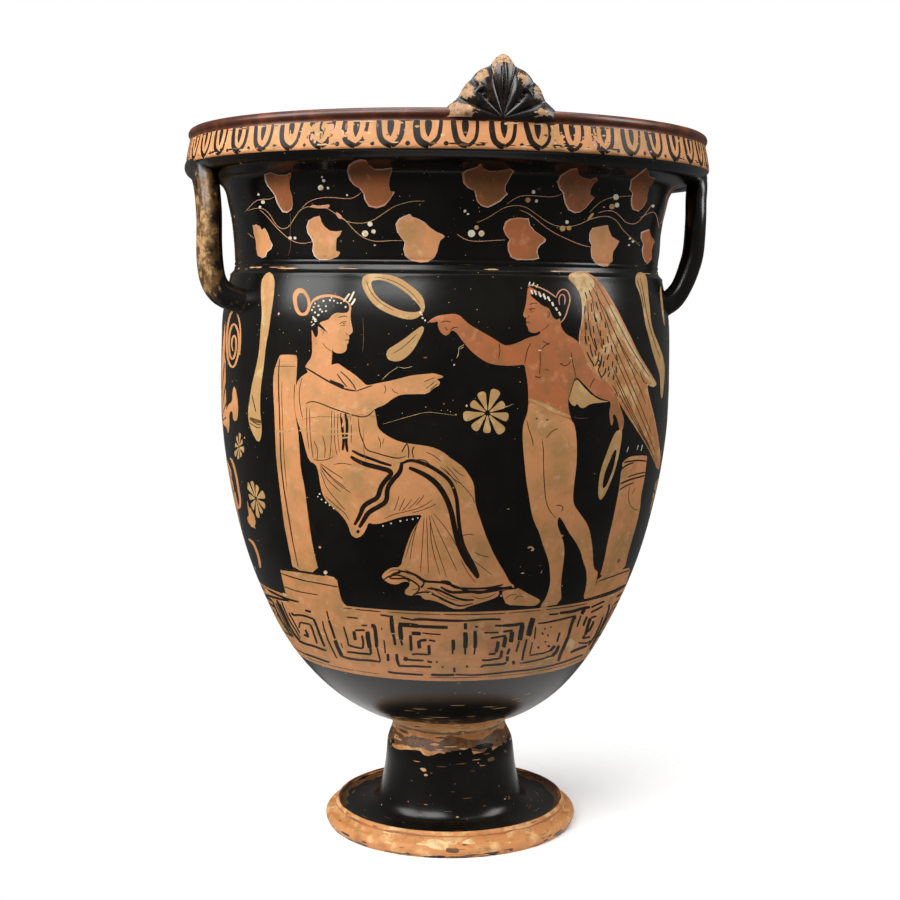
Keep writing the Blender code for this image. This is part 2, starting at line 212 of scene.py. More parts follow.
@dataclass(frozen=True)
class VesselForm:
    """Sizes of the turned vessel in metres, as in the solid, and the curves that follow from them."""

    foot_radius: float = 0.0938
    foot_lip_radius: float = 0.0842
    foot_lip_height: float = 0.0165
    dish_radius: float = 0.0715
    dish_height: float = 0.0118
    stem_base: float = 0.0560
    stem_radius: float = 0.0472
    stem_height: float = 0.0650
    joint_radius: float = 0.0425
    bowl_start: float = 0.0810
    bowl_foot: float = 0.0464
    belly_radius: float = 0.1638
    belly: float = 0.3280
    shoulder_radius: float = 0.1570
    shoulder: float = 0.4050
    neck_radius: float = 0.1536
    neck_start: float = 0.4092
    neck_top_radius: float = 0.1586
    neck_top: float = 0.4572
    rim_radius: float = 0.1881
    band_start: float = 0.4822
    band_top: float = 0.4990
    band_lean: float = 0.0029
    lip_radius: float = 0.0036
    mouth_radius: float = 0.1806
    wall: float = 0.0070
    bowl_floor: float = 0.0960
    offset: float = -0.0069
    lean: float = math.radians(0.74)
    settling: float = 0.0747
    flat_radius: float = 0.1600

    @property
    def lip_centre(self) -> np.ndarray:
        """Middle of the rolled lip's section, as radius and height."""
        radius = self.rim_radius - self.band_lean + 0.0010 - self.lip_radius
        return np.array([radius, self.band_top + 0.0008 + self.lip_radius])

    @property
    def rim_top(self) -> float:
        """Height of the lip's top."""
        return self.lip_centre[1] + self.lip_radius

    def lip(self) -> np.ndarray:
        """The rolled lip, from the mouth over the top to the groove above the band."""
        turns = np.radians(np.linspace(150, -50, 13))
        return self.lip_centre + self.lip_radius * np.stack([np.cos(turns), np.sin(turns)], axis=1)

    def wall_line(self) -> list[tuple[np.ndarray, bool]]:
        """The painted outside from the band's top down to the floor.

        Returns:
            Its stretches, each with whether its points are creases that the mesh keeps.
        """
        rim, top = self.rim_radius, self.neck_top_radius
        spread = rim - top
        band = through(
            [
                (rim - self.band_lean, self.band_top),
                (rim - 0.0010, self.band_start + 0.0080),
                (rim, self.band_start + 0.0008),
            ],
            3,
        )
        edge = np.array([(rim - 0.0004, self.band_start - 0.0004)])
        flare = through(
            [
                (rim - 0.0016, self.band_start - 0.0008),
                (rim - 0.28 * spread, self.band_start - 0.0063),
                (top + 0.25 * spread, self.neck_top + 0.0144),
                (top + 0.07 * spread, self.neck_top + 0.0081),
                (top, self.neck_top),
                (self.neck_radius + 0.00225, self.neck_start + 0.0346),
                (self.neck_radius + 0.0006, self.neck_start + 0.0192),
                (self.neck_radius, self.neck_start + 0.0085),
            ],
            4,
        )
        grooves = self.turned_grooves()
        fall = self.belly_radius - self.shoulder_radius
        rise = self.shoulder - self.belly
        shoulder = through(
            [
                (self.shoulder_radius, self.shoulder - 0.0006),
                (self.belly_radius - 0.42 * fall, self.belly + 0.76 * rise),
                (self.belly_radius - 0.12 * fall, self.belly + 0.52 * rise),
                (self.belly_radius, self.belly),
            ],
            5,
        )[:-1]
        shares = (
            (1.0, 1.0),
            (0.870, 0.990),
            (0.704, 0.942),
            (0.522, 0.850),
            (0.368, 0.728),
            (0.222, 0.568),
            (0.108, 0.375),
            (0.036, 0.175),
            (0.0, 0.0),
        )
        girth = self.belly_radius - self.bowl_foot
        height = self.belly - self.bowl_start
        bowl = through([(self.bowl_foot + girth * r, self.bowl_start + height * h) for h, r in shares], 5)
        smooth, creased = False, True
        return [
            (band, smooth),
            (edge, creased),
            (flare, smooth),
            (grooves, creased),
            (shoulder, smooth),
            (bowl, smooth),
            (self.stem(), creased),
        ]

    def turned_grooves(self) -> np.ndarray:
        """Two fine grooves cut on the wheel, and the ridge under them."""
        foot = self.neck_start
        return np.array(
            [
                (self.neck_radius, foot + 0.0066),
                (self.neck_radius - 0.0006, foot + 0.0060),
                (self.neck_radius, foot + 0.0054),
                (self.neck_radius + 0.0002, foot + 0.0036),
                (self.neck_radius - 0.0005, foot + 0.0030),
                (self.neck_radius + 0.0001, foot + 0.0024),
                (self.neck_radius + 0.0004, foot + 0.0004),
                (self.neck_radius + 0.0012, foot - 0.0010),
                (self.shoulder_radius - 0.0006, self.shoulder + 0.0016),
                (self.shoulder_radius, self.shoulder + 0.0008),
            ]
        )

    def stem(self) -> np.ndarray:
        """The joint under the bowl, the stem, the dish and the foot's rolled edge."""
        groove = np.array([self.joint_radius, self.stem_height + 0.00715])
        drop = self.stem_height - self.dish_height
        spread = self.stem_base - self.stem_radius
        flare = self.dish_radius - self.stem_base
        upper = through(
            [
                (self.bowl_foot - 0.0016, self.bowl_start - 0.0012),
                groove + (0.0004, 0.0039),
                groove,
                (self.stem_radius - 0.0014, self.stem_height - 0.0008),
                (self.stem_radius, self.stem_height - 0.0065),
                (self.stem_radius + 0.16 * spread, self.stem_height - 0.38 * drop),
                (self.stem_radius + 0.38 * spread, self.stem_height - 0.60 * drop),
                (self.stem_radius + 0.68 * spread, self.stem_height - 0.79 * drop),
                (self.stem_base, self.stem_height - 0.90 * drop),
                (self.stem_base + 0.30 * flare, self.stem_height - 0.965 * drop),
                (self.dish_radius, self.dish_height),
                (self.foot_lip_radius - 0.0040, self.dish_height + 0.0010),
            ],
            3,
        )
        lip = through(
            [
                (self.foot_lip_radius - 0.0018, self.foot_lip_height - 0.0010),
                (self.foot_lip_radius, self.foot_lip_height),
                (self.foot_lip_radius + 0.0016, self.foot_lip_height - 0.0018),
                (self.foot_lip_radius + 0.0031, 0.60 * self.foot_lip_height),
            ],
            3,
        )
        bulge = 0.30 * self.foot_lip_height
        centre = np.array([self.foot_radius - bulge, 0.31 * self.foot_lip_height])
        turns = np.radians(np.linspace(70, -50, 8))
        roll = centre + bulge * np.stack([np.cos(turns), np.sin(turns)], axis=1)
        return np.vstack([upper, lip, roll, [(self.foot_radius - 0.0022, 0.0)]])

    def underside(self) -> np.ndarray:
        """The resting ring and the hollow under the foot, in to the axis."""
        ring = self.foot_radius - 0.0107
        dish = self.dish_height - 0.0065
        crown = 0.86 * self.stem_height
        stem = self.stem_radius - 0.0130
        return np.array(
            [
                (self.foot_radius - 0.0022, 0.0),
                (ring - 0.0006, 0.0),
                (ring - 0.0020, 0.75 * dish),
                (self.dish_radius - 0.004, dish),
                (self.stem_base - 0.0078, dish + 0.16 * crown),
                (stem, 0.50 * crown),
                (0.80 * stem, 0.76 * crown),
                (0.50 * stem, 0.95 * crown),
                (0.0, crown),
            ]
        )

    def inside(self) -> np.ndarray:
        """The inside of the vessel, from the mouth down to the middle of its floor."""
        top = self.neck_top_radius
        neck = through(
            [
                self.lip()[0],
                (self.mouth_radius - 0.0030, self.band_top - 0.0070),
                (top + 0.10 * (self.rim_radius - top), self.neck_top + 0.0180),
                (top - 0.0058, self.neck_top + 0.0081),
                (top - self.wall, self.neck_top - 0.0048),
                (self.neck_radius - self.wall, self.neck_start + 0.0096),
                (self.shoulder_radius - 0.0072, self.shoulder - 0.0060),
            ],
            4,
        )
        shoulder_and_bowl = slice(4, 6)
        outer = np.vstack([line for line, _ in self.wall_line()[shoulder_and_bowl]])
        along = np.gradient(outer, axis=0)
        along /= np.linalg.norm(along, axis=1, keepdims=True)
        bowl = outer + self.wall * np.stack([along[:, 1], -along[:, 0]], axis=1)
        bowl = bowl[(bowl[:, 1] > self.bowl_floor + 0.0030) & (bowl[:, 1] < self.shoulder - 0.0100)][::2]
        floor = [(0.55 * bowl[-1, 0], self.bowl_floor + 0.0008), (0.0, self.bowl_floor)]
        return np.vstack([neck, bowl, floor])

    def settle(self, points: np.ndarray) -> np.ndarray:
        """Move points of the true form to where they lie on the settled, leaning vessel.

        Args:
            points: points in metres, one row each.

        Returns:
            The moved points.
        """
        share, pivot = self.settled_share(points), np.array([0.0, 0.0, self.bowl_start])
        turn = np.array(Matrix.Rotation(self.lean, 3, "Y"))
        leaned = (points - pivot) @ turn.T + pivot + (self.offset, 0.0, 0.0)
        return points * (1 - share) + leaned * share

    def unsettle(self, points: np.ndarray) -> np.ndarray:
        """The true-form points of points on the settled bowl, all of them above the joint."""
        share, pivot = self.settled_share(points), np.array([0.0, 0.0, self.bowl_start])
        turn = np.array(Matrix.Rotation(-self.lean, 3, "Y"))
        raised = (points - (self.offset, 0.0, 0.0) - pivot) @ turn.T + pivot
        return points * (1 - share) + raised * share

    def settled_share(self, points: np.ndarray) -> np.ndarray:
        """How much each point shares in the bowl's lean: none at the foot, all above the bowl's start."""
        low = 0.75 * self.stem_height
        high = self.bowl_start + self.settling
        share = np.clip((points[:, 2] - low) / (high - low), 0.0, 1.0)
        return (share * share * (3 - 2 * share))[:, None]


@dataclass
class Unrolled:
    """The vessel's painted outside as a flat sheet in millimetres.

    Across is the way round at flat_radius, from zero at the front. Up is the way along the outline, from zero
    at the floor.
    """

    form: VesselForm
    line: np.ndarray = field(init=False)
    creases: list[float] = field(init=False)
    way: np.ndarray = field(init=False)
    normals: np.ndarray = field(init=False)
    above_lip: float = 0.004

    def __post_init__(self) -> None:
        """Measure the way along the outline and its normals."""
        stretches = self.form.wall_line()
        self.line = np.vstack([line for line, crease in stretches])
        kept = np.concatenate([np.full(len(line), crease) for line, crease in stretches])
        steps = np.linalg.norm(np.diff(self.line, axis=0), axis=1)
        length = np.concatenate([[0.0], np.cumsum(steps)])
        self.way = (length[-1] - length) / MM
        self.creases = [level for level, crease in zip(self.way, kept) if crease]
        along = np.gradient(self.line, axis=0)
        along /= np.linalg.norm(along, axis=1, keepdims=True)
        self.normals = np.stack([-along[:, 1], along[:, 0]], axis=1)

    @property
    def half_width(self) -> float:
        """Half of the sheet's width, in millimetres."""
        return math.pi * self.form.flat_radius / MM

    def level(self, height: float) -> float:
        """The way up at a height in millimetres, for the bowl, neck and rim."""
        use = self.line[:, 1] > self.form.foot_lip_height + self.above_lip
        return float(np.interp(height * MM, self.line[use, 1][::-1], self.way[use][::-1]))

    def radius(self, level: float) -> float:
        """The vessel's radius in millimetres at a way up."""
        return float(np.interp(level, self.way[::-1], self.line[::-1, 0])) / MM

    def on_vessel(self, flat: np.ndarray) -> tuple[np.ndarray, np.ndarray]:
        """Roll sheet points onto the vessel.

        Args:
            flat: points of the sheet in millimetres.

        Returns:
            The points in metres, and the outward normals there.
        """
        turn = flat[:, 0] * MM / self.form.flat_radius
        r = np.interp(flat[:, 1], self.way[::-1], self.line[::-1, 0])
        z = np.interp(flat[:, 1], self.way[::-1], self.line[::-1, 1])
        points = np.stack([r * np.sin(turn), -r * np.cos(turn), z], axis=1)
        nr = np.interp(flat[:, 1], self.way[::-1], self.normals[::-1, 0])
        nz = np.interp(flat[:, 1], self.way[::-1], self.normals[::-1, 1])
        normals = np.stack([nr * np.sin(turn), -nr * np.cos(turn), nz], axis=1)
        return points, normals / np.linalg.norm(normals, axis=1, keepdims=True)


class Layout(Protocol):
    """A way of laying drawn points on the unrolled sheet."""

    def flat(self, points: np.ndarray) -> np.ndarray:
        """Sheet points, in millimetres, of drawn points."""


@dataclass(frozen=True)
class Viewpoint:
    """Where the vessel is seen from, which also carries the front drawing onto the bowl."""

    azimuth: float = math.radians(-10.5)
    distance: float = 1.1503
    height: float = 0.3959
    pitch: float = math.radians(5.824)
    lens: float = 0.06234
    film: float = 0.036
    frame: int = 900

    @property
    def ahead(self) -> np.ndarray:
        """The level direction from the viewpoint to the vessel's axis."""
        return np.array([-math.sin(self.azimuth), math.cos(self.azimuth), 0.0])

    @property
    def place(self) -> np.ndarray:
        """The viewpoint in metres."""
        return -self.distance * self.ahead + np.array([0.0, 0.0, self.height])

    def rays(self, points: np.ndarray) -> np.ndarray:
        """Directions from the viewpoint through points of a picture frame units wide, its y axis down."""
        across = np.array([math.cos(self.azimuth), math.sin(self.azimuth), 0.0])
        upward = np.array([0.0, 0.0, 1.0])
        forward = self.ahead * math.cos(self.pitch) - upward * math.sin(self.pitch)
        above = self.ahead * math.sin(self.pitch) + upward * math.cos(self.pitch)
        scale = self.film / (self.lens * self.frame)
        right = (points[:, :1] - self.frame / 2) * scale
        up = (self.frame / 2 - points[:, 1:]) * scale
        ways = forward + right * across + up * above
        return ways / np.linalg.norm(ways, axis=1, keepdims=True)


@dataclass(frozen=True)
class Thrown:
    """A drawing thrown onto the vessel from the viewpoint, in units of the viewpoint's picture."""

    sheet: Unrolled
    view: Viewpoint

    def flat(self, points: np.ndarray) -> np.ndarray:
        """Sheet points where the drawn points' rays first meet the bowl."""
        form = self.sheet.form
        ways = self.view.rays(points)
        use = self.sheet.line[:, 1] > form.bowl_start
        heights, radii = self.sheet.line[use, 1][::-1], self.sheet.line[use, 0][::-1]
        ahead_of_axis, halvings = 0.25, 36
        near = np.full(len(points), self.view.distance - ahead_of_axis)
        far = np.full(len(points), self.view.distance)
        for _ in range(halvings):
            middle = (near + far) / 2
            spot = form.unsettle(self.view.place + ways * middle[:, None])
            out = np.hypot(spot[:, 0], spot[:, 1]) > np.interp(spot[:, 2], heights, radii)
            near = np.where(out, middle, near)
            far = np.where(out, far, middle)
        spot = form.unsettle(self.view.place + ways * far[:, None])
        turn = np.arctan2(spot[:, 0], -spot[:, 1])
        levels = np.array([self.sheet.level(z / MM) for z in spot[:, 2]])
        return np.stack([turn * form.flat_radius / MM, levels], axis=1)


@dataclass(frozen=True)
class Around:
    """A drawing in true millimetres round the vessel, centred on an angle and a height."""

    sheet: Unrolled
    degrees: float
    height: float

    def flat(self, points: np.ndarray) -> np.ndarray:
        """Sheet points of drawn points, with y up."""
        level = self.sheet.level(self.height)
        stretch = self.sheet.form.flat_radius / MM / self.sheet.radius(level)
        middle = math.radians(self.degrees) * self.sheet.form.flat_radius / MM
        return np.stack([middle + points[:, 0] * stretch, level + points[:, 1]], axis=1)


@dataclass
class Painting:
    """All painted shapes, in the order in which they cover each other."""

    shapes: list[tuple[np.ndarray, Paint]] = field(default_factory=list)

    def add(self, layout: Layout, points: np.ndarray, paint: Paint) -> None:
        """Lay one closed shape on the sheet."""
        self.shapes.append((layout.flat(points), paint))


@dataclass
class Brush:
    """Draws with one layout: filled shapes, strokes and dots."""

    painting: Painting
    layout: Layout

    def fill(self, drawn: str | np.ndarray, paint: Paint, rounds: int = 2) -> None:
        """Fill an outline.

        Args:
            drawn: its points, or the text of them.
            paint: the finish that it takes.
            rounds: how often its corners are softened.
        """
        points = as_points(drawn) if isinstance(drawn, str) else drawn
        self.painting.add(self.layout, soften(points, True, rounds) if rounds else points, paint)

    def line(
        self, drawn: str | np.ndarray, width: float, paint: Paint = Paint.LINE, ends: float = 0.45
    ) -> None:
        """Draw a stroke.

        Args:
            drawn: the points of its middle line, or the text of them.
            width: its width at the middle.
            paint: the finish that it takes.
            ends: its width at both ends, as a share of the middle's.
        """
        points = as_points(drawn) if isinstance(drawn, str) else drawn
        self.painting.add(self.layout, ribbon(soften(points, False), width, ends), paint)

    def lines(self, strokes: str, width: float, paint: Paint = Paint.LINE) -> None:
        """Draw several strokes of one width, parted by semicolons."""
        for stroke in parted(strokes):
            self.line(stroke, width, paint)

    def dots(self, drawn: str, radius: float, paint: Paint = Paint.WHITE) -> None:
        """Dab small round dots."""
        for index, centre in enumerate(as_points(drawn)):
            size = radius * (0.85 + 0.3 * ((index * 7) % 5) / 4)
            self.painting.add(self.layout, centre + circle(9) * size, paint)


def one_of(paints: Sequence[Paint], chance: np.random.Generator) -> Paint:
    """One of the finishes, by chance where there is more than one."""
    return Paint(int(chance.choice(paints))) if len(paints) > 1 else paints[0]


def ragged(width: float, height: float, chance: np.random.Generator) -> np.ndarray:
    """The outline of a small uneven patch round the origin.

    Args:
        width: about how wide it is.
        height: about how tall it is.
        chance: the source of its unevenness.

    Returns:
        The patch's corners.
    """
    fewest, most, per_width = 7, 22, 0.6
    count = int(min(most, fewest + width * per_width))
    turns = (np.arange(count) + chance.uniform(-0.3, 0.3, count)) * 2 * math.pi / count
    reach = chance.uniform(0.55, 1.0, count)
    corners = np.stack([np.cos(turns) * reach * width / 2, np.sin(turns) * reach * height / 2], axis=1)
    return soften(corners, True, 1)


def rosette(petals: int, reach: float, turn: float) -> list[np.ndarray]:
    """Petals of a small rosette round the origin, as closed outlines.

    Args:
        petals: their number.
        reach: how far they reach from the middle.
        turn: the first petal's angle in degrees.

    Returns:
        One outline for each petal.
    """
    drawn = as_points("0.12,-0.04 0.45,-0.10 0.82,-0.22 0.98,-0.17 1.0,0.10 0.88,0.22 0.46,0.10 0.12,0.04")
    petal = reach * drawn
    outlines = []
    for index in range(petals):
        size = 0.88 + 0.12 * math.sin(2.1 * index + reach)
        outlines.append(size * turned_to(petal, turn + 360 * index / petals))
    return outlines


def square_spiral(width: float, height: float, turns: int, step: float) -> np.ndarray:
    """A square spiral that winds inwards, as its corner points.

    Args:
        width: its outer width.
        height: its outer height.
        turns: how often it goes round.
        step: the way between two of its lines.

    Returns:
        The corners, from the outer end to the middle.
    """
    corners = []
    x, y = width / 2, height / 2
    for _ in range(turns):
        corners += [(-x, -y), (-x, y), (x, y), (x, -y + step), (-x + step, -y + step)]
        x -= step
        y -= step
    return np.array(corners[:-1])


@dataclass
class RimBand:
    """Egg-and-dart round the rim, black on the reserved clay."""

    sheet: Unrolled
    count: int = 51
    egg_width: float = 15.0
    low: float = -8.0
    high: float = 8.8
    middle: float = 490.8

    def paint(self, painting: Painting) -> None:
        """Lay the clay band, then an egg, its tongue and a dart for each repeat."""
        form = self.sheet.form
        edge = self.sheet.half_width + 5
        bottom, top = self.sheet.level(form.band_start / MM - 0.3), self.sheet.way[0] + 1.0
        band = np.array([(-edge, bottom), (edge, bottom), (edge, top), (-edge, top)])
        painting.shapes.append((band, Paint.CLAY))
        half = self.egg_width / 2
        sway = np.random.default_rng(11)
        for index in range(self.count):
            degrees = -180 + 360 * (index + 0.5) / self.count
            brush = Brush(painting, Around(self.sheet, degrees, self.middle))
            lean = sway.uniform(-0.8, 0.8)
            path = np.array(
                [
                    (-half + lean, self.high),
                    (-half + 0.3, 2.0),
                    (-half + 1.6, -3.6),
                    (-2.6, -6.6),
                    (0.6, self.low + 0.6),
                    (3.4, -6.0),
                    (half - 1.2, -2.6),
                    (half - 0.2, 3.0),
                    (half + lean, self.high),
                ]
            )
            path += sway.uniform(-0.3, 0.3, path.shape)
            brush.line(path[:5], 3.9 + sway.uniform(-0.6, 0.6), ends=0.7)
            brush.line(path[4:], 2.5 + sway.uniform(-0.4, 0.6), ends=0.8)
            tongue = as_points(f"-2.3,{self.high} 2.1,{self.high} 2.3,3.6 1.2,0 0.1,-2.6 -1.5,0.4 -2.2,4")
            brush.fill(tongue + (lean, 0.0), Paint.LINE)
            brush.dots(f"{11.0 + lean},-6.0", 1.4 + sway.uniform(-0.2, 0.5), Paint.LINE)


@dataclass
class IvyNeck:
    """Two rows of reserved ivy leaves on the neck, with thin vines and berries in added white."""

    sheet: Unrolled
    view: Viewpoint
    rows: tuple = ((461.0, 69.0), (428.5, 81.0))
    leaf_step: float = 24.4
    vine_height: float = 445.0
    vine_start: float = 64.0
    vine_step: float = 6.1
    vine_lengths: int = 34
    vine_reach: float = 16.6
    wave_height: float = 9.0
    wave_step: float = 29.5
    back_leaves: int = 9
    last_start: float = 176.0

    def leaves(self) -> list[str]:
        """Outlines of the leaves that the front shows, in drawing units."""
        return parted(
            "264.5,174.5 270,172.3 278,175.2 286,175 290.5,172.5 291,176 289,182.5 290,190 292.5,197"
            " 293,203.5 291.5,209.5 287.5,212.5 283,211.5 279.5,207 277,202 275,195.5 271,189.5 267.5,185"
            " 265.2,180; 347.3,171 349,165 355,161 361,159.8 366.5,160.5 369,165.5 375,169 383,169.5"
            " 391.8,168 392,172 389.5,178 389,185 390,191 394.5,192.5 392,196 389.5,200 384.5,206"
            " 376.5,208.5 369,206.5 364.5,200 363.5,194.5 359.5,188.5 354,185.5 350,180.5; 461.5,173"
            " 465.5,170 472,168.5 477,166.5 480.3,163.5 483.5,168 489,171 497,170.8 504,170.3 510.5,168.3"
            " 513.8,170.8 510.5,175 508,180 505.2,185 504.7,190 507.5,194 504,196.5 500,200.5 494,204.5"
            " 487,207.5 481,206 476.5,201 475,195 474.5,190.5 467.5,187.5 463,182.5; 557.5,182 560.5,176"
            " 566,171.5 571,168.5 577.2,168 579,175 583,177.5 590,179.2 596.5,177.2 598,180 594,184"
            " 590.5,190 590.5,194.5 594.5,197.5 590.5,202 586,207.5 580,212 575,212.8 569,209.5 565.5,204"
            " 564,197 563.5,193 559.5,188.5; 631,180 636,177 641.5,172.5 646.5,168.5 648,172.5 650,177"
            " 655,178.7 652.5,183.5 649,188.5 647.5,195 646.8,201 643.5,207 638.5,211.3 633.5,210 631,205.5"
            " 631.2,199 632.5,194 630,190 630.8,185; 253,225.5 256,224 259.5,226.5 261.5,230.5 264.5,228"
            " 267.5,232.5 269,238 272.5,245 270.5,249 266.5,251.5 265.5,256.5 262,258 257.5,255.5 256,249"
            " 255.5,241 253.8,233; 306.8,227 309,220.5 314,217 319.5,216 321,221 324.5,226.5 330,230.5"
            " 336,231.5 341.8,230.5 340,235 336.5,238.5 336,244.5 336,251 340,252.5 338.5,256.5 333,258.5"
            " 327,260 320,259.5 315,256 313,250.5 313.5,243.5 312,238.5 308.5,233; 395.8,224.5 399.5,219"
            " 405,216.5 410,214.3 413.5,217.5 420,220 426,223.5 431,228.5 437,232.5 443.5,235.5 444.5,237"
            " 440.5,240.5 438.5,246 437,251.5 434,257.5 428,261.5 420,262.3 411,260.5 405.5,256 403.8,249.5"
            " 405.5,243 402,238.5 397.5,233; 503,228.5 505,221.5 510,218.5 518,217.5 528,218 529.5,224.5"
            " 534,230.5 540,234.5 545.5,238.5 544.5,241.5 540,244.5 537,248.5 537,253 538.5,258.5 533,259.5"
            " 524,260 516,260 510.5,257 507.5,250 507.5,243.5 510,239.5 506,235; 590,233 592.5,228 598,226.5"
            " 604,225.8 608,225 609,230.5 612,236.5 619.8,241 616.5,246.5 613,251.5 612.5,256.5 612.5,261"
            " 608.5,265.5 604.5,266.3 599.5,264.5 595,261.5 591.8,256 591.5,249.5 592,245 589.8,240;"
            " 641.3,233 644,231.5 649.5,230 651,236 654.5,241.5 652.5,246 652,251.5 652,258 649.5,262.5"
            " 647.3,264.5 645,261.5 642.8,256 642.5,250 643.5,244.5 641.5,239"
        )

    def vines(self) -> list[str]:
        """Middle lines of the vines that the front shows, in drawing units."""
        return parted(
            "245,212 249.5,207 255,201 262,199 269,199.5 274,197; 247.5,210.5 254,208.5 260,208 266,210"
            " 271,216 274,222 279,228 285,229 290,225.5 295,217 300,210 307,206.5 316,206.5 326,207.5"
            " 334,212.5 341,218 348,222 356,223.3 365,223 372,221 380,216 388,210 396,205.5 404,203 413,201"
            " 424,201; 260,210 268,217 275,226 282,233 289,239 297,243 305,243.5 313,241.5; 302,208"
            " 306,203.5 313,199.5 322,197.5 332,197.3 342,198.5 351,198.7 357,196 361,192.5; 340,216"
            " 346,220.5 351,227 357,233 364,238 372,241 380,241.5 390,240.5 402,240.5; 248,233 251,236"
            " 254,238; 457,234 463,238.5 470,241 480,241.5 492,240.5 505,240; 477,222.5 486,219 494,214"
            " 502,208.5 510,206 518,205.3 526,207 532,211 540,217 548,222.5 556,226 566,227 574,226"
            " 582,223.5 590,219 598,217 606,216 612,217.5 618,222 622,229 628,235 634,240 640,246; 507,204"
            " 513,199.5 520,196 528,195.3 538,196 548,197 556,196.5 563,193.5; 520,210 528,213 536,219"
            " 545,227 556,234 567,239 577,243.5 587,246.5 592,247; 590,212 595,206.5 601,201.5 609,198"
            " 618,196.5 631,196; 598,213 606,210.5 614,211 620,216 625,222 632,224.5 638,222.5 643,217"
            " 648,210 652,205; 640,218 647,214 653,211.5 656,214 658,221 659,228"
        )

    def paint(self, painting: Painting) -> None:
        """Lay the front's vines, berries and leaves, then the same pattern round the back."""
        brush = Brush(painting, Thrown(self.sheet, self.view))
        chance = np.random.default_rng(31)
        for index, vine in enumerate(self.vines()):
            brush.line(vine, 0.6, Paint.TAN if index % 3 == 1 else Paint.ROSE, ends=0.6)
        brush.fill("309,207 313,204.5 318,206 325,205 330,204 329,208 322,208.5 314,208", Paint.ROSE)
        brush.fill("335,212 339,213 343,217.5 340,219.5 336.5,216", Paint.ROSE)
        brush.fill("588,218 592,212.5 594.5,213.5 590.5,219 586.5,222", Paint.TAN)
        for index, leaf in enumerate(self.leaves()):
            outline = as_points(leaf)
            outline += chance.uniform(-0.35, 0.35, outline.shape)
            middle = outline.mean(axis=0)
            brush.fill(outline + ((-0.5, 0.3), (-0.4, -0.4), (0.5, 0.3))[index % 3], Paint.WHITE, 0)
            brush.fill(outline, Paint.ROSE, 0)
            inner = middle + (outline - middle) * chance.uniform(0.925, 0.965, (len(outline), 1))
            # The upper row takes the darker leaf wash and the lower row lighter clay, partly as painted shade
            # under the rim's flare.
            body = Paint.LEAF if index < 5 else Paint.RUDDY if index in (8, 10) else Paint.CLAY
            brush.fill(inner + (0.4, 0.1), body, 0)
        brush.dots("320.6,187.6 365,233.5 471.5,233.5 481.5,233.5", 3.3, Paint.WHITE)
        brush.dots("321.6,188.4 365.6,234.2 481.8,233.8", 1.9, Paint.CREAM)
        brush.dots("373.5,231.5 370,224 616,197 617,205", 2.6, Paint.WHITE)
        brush.dots("476.5,227.5 528,200 562.5,228.5 569,228 612,206.6", 2.6, Paint.TAN)
        brush.dots(
            "328,188 323.6,180.6 533.5,192 536.5,201 567,222 295,238 290,238 263,202 653,206",
            1.7,
            Paint.WHITE,
        )
        brush.dots(
            "347,195 258.5,194.5 260,207 630,238.5 633,241.5 629,245 322,177 465,211 468,214",
            1.2,
            Paint.WHITE,
        )
        self.paint_back(painting)

    def paint_back(self, painting: Painting) -> None:
        """The same leaves, vine and berries in plainer repeats, where the front doesn't show the neck."""
        leaf = as_points(
            "-15,4 -12,11 -5,13.5 1,15 3,10 9,8 16,9 13,3 11,-3 13,-8 9,-13 2,-16 -5,-14 -8,-8 -8,-3 -13,0"
        )
        for index in range(self.back_leaves):
            for row, (height, start) in enumerate(self.rows):
                if row and index == self.back_leaves - 1:
                    continue
                degrees = start + self.leaf_step * index
                degrees -= 360 if degrees > 180 else 0
                brush = Brush(painting, Around(self.sheet, degrees, height))
                brush.fill(leaf + (-0.8, 0.4), Paint.WHITE, 1)
                brush.fill(leaf, Paint.ROSE, 1)
                brush.fill(leaf * 0.88, Paint.LEAF, 1)
        for index in range(self.vine_lengths):
            degrees = self.vine_start + self.vine_step * index
            degrees -= 360 if degrees > self.last_start else 0
            turns = np.radians(self.wave_step * (index + np.linspace(0, 1, 5)))
            wave = self.wave_height * np.sin(turns)
            brush = Brush(painting, Around(self.sheet, degrees, self.vine_height))
            path = np.stack([np.linspace(0, self.vine_reach, 5), wave], axis=1)
            brush.line(path, 0.7, Paint.ROSE, ends=1.0)
            if index % 4 == 1:
                brush.dots(f"4,{wave[0] + 7} 9,{wave[0] + 9} 7,{wave[0] + 4}", 1.8, Paint.WHITE)


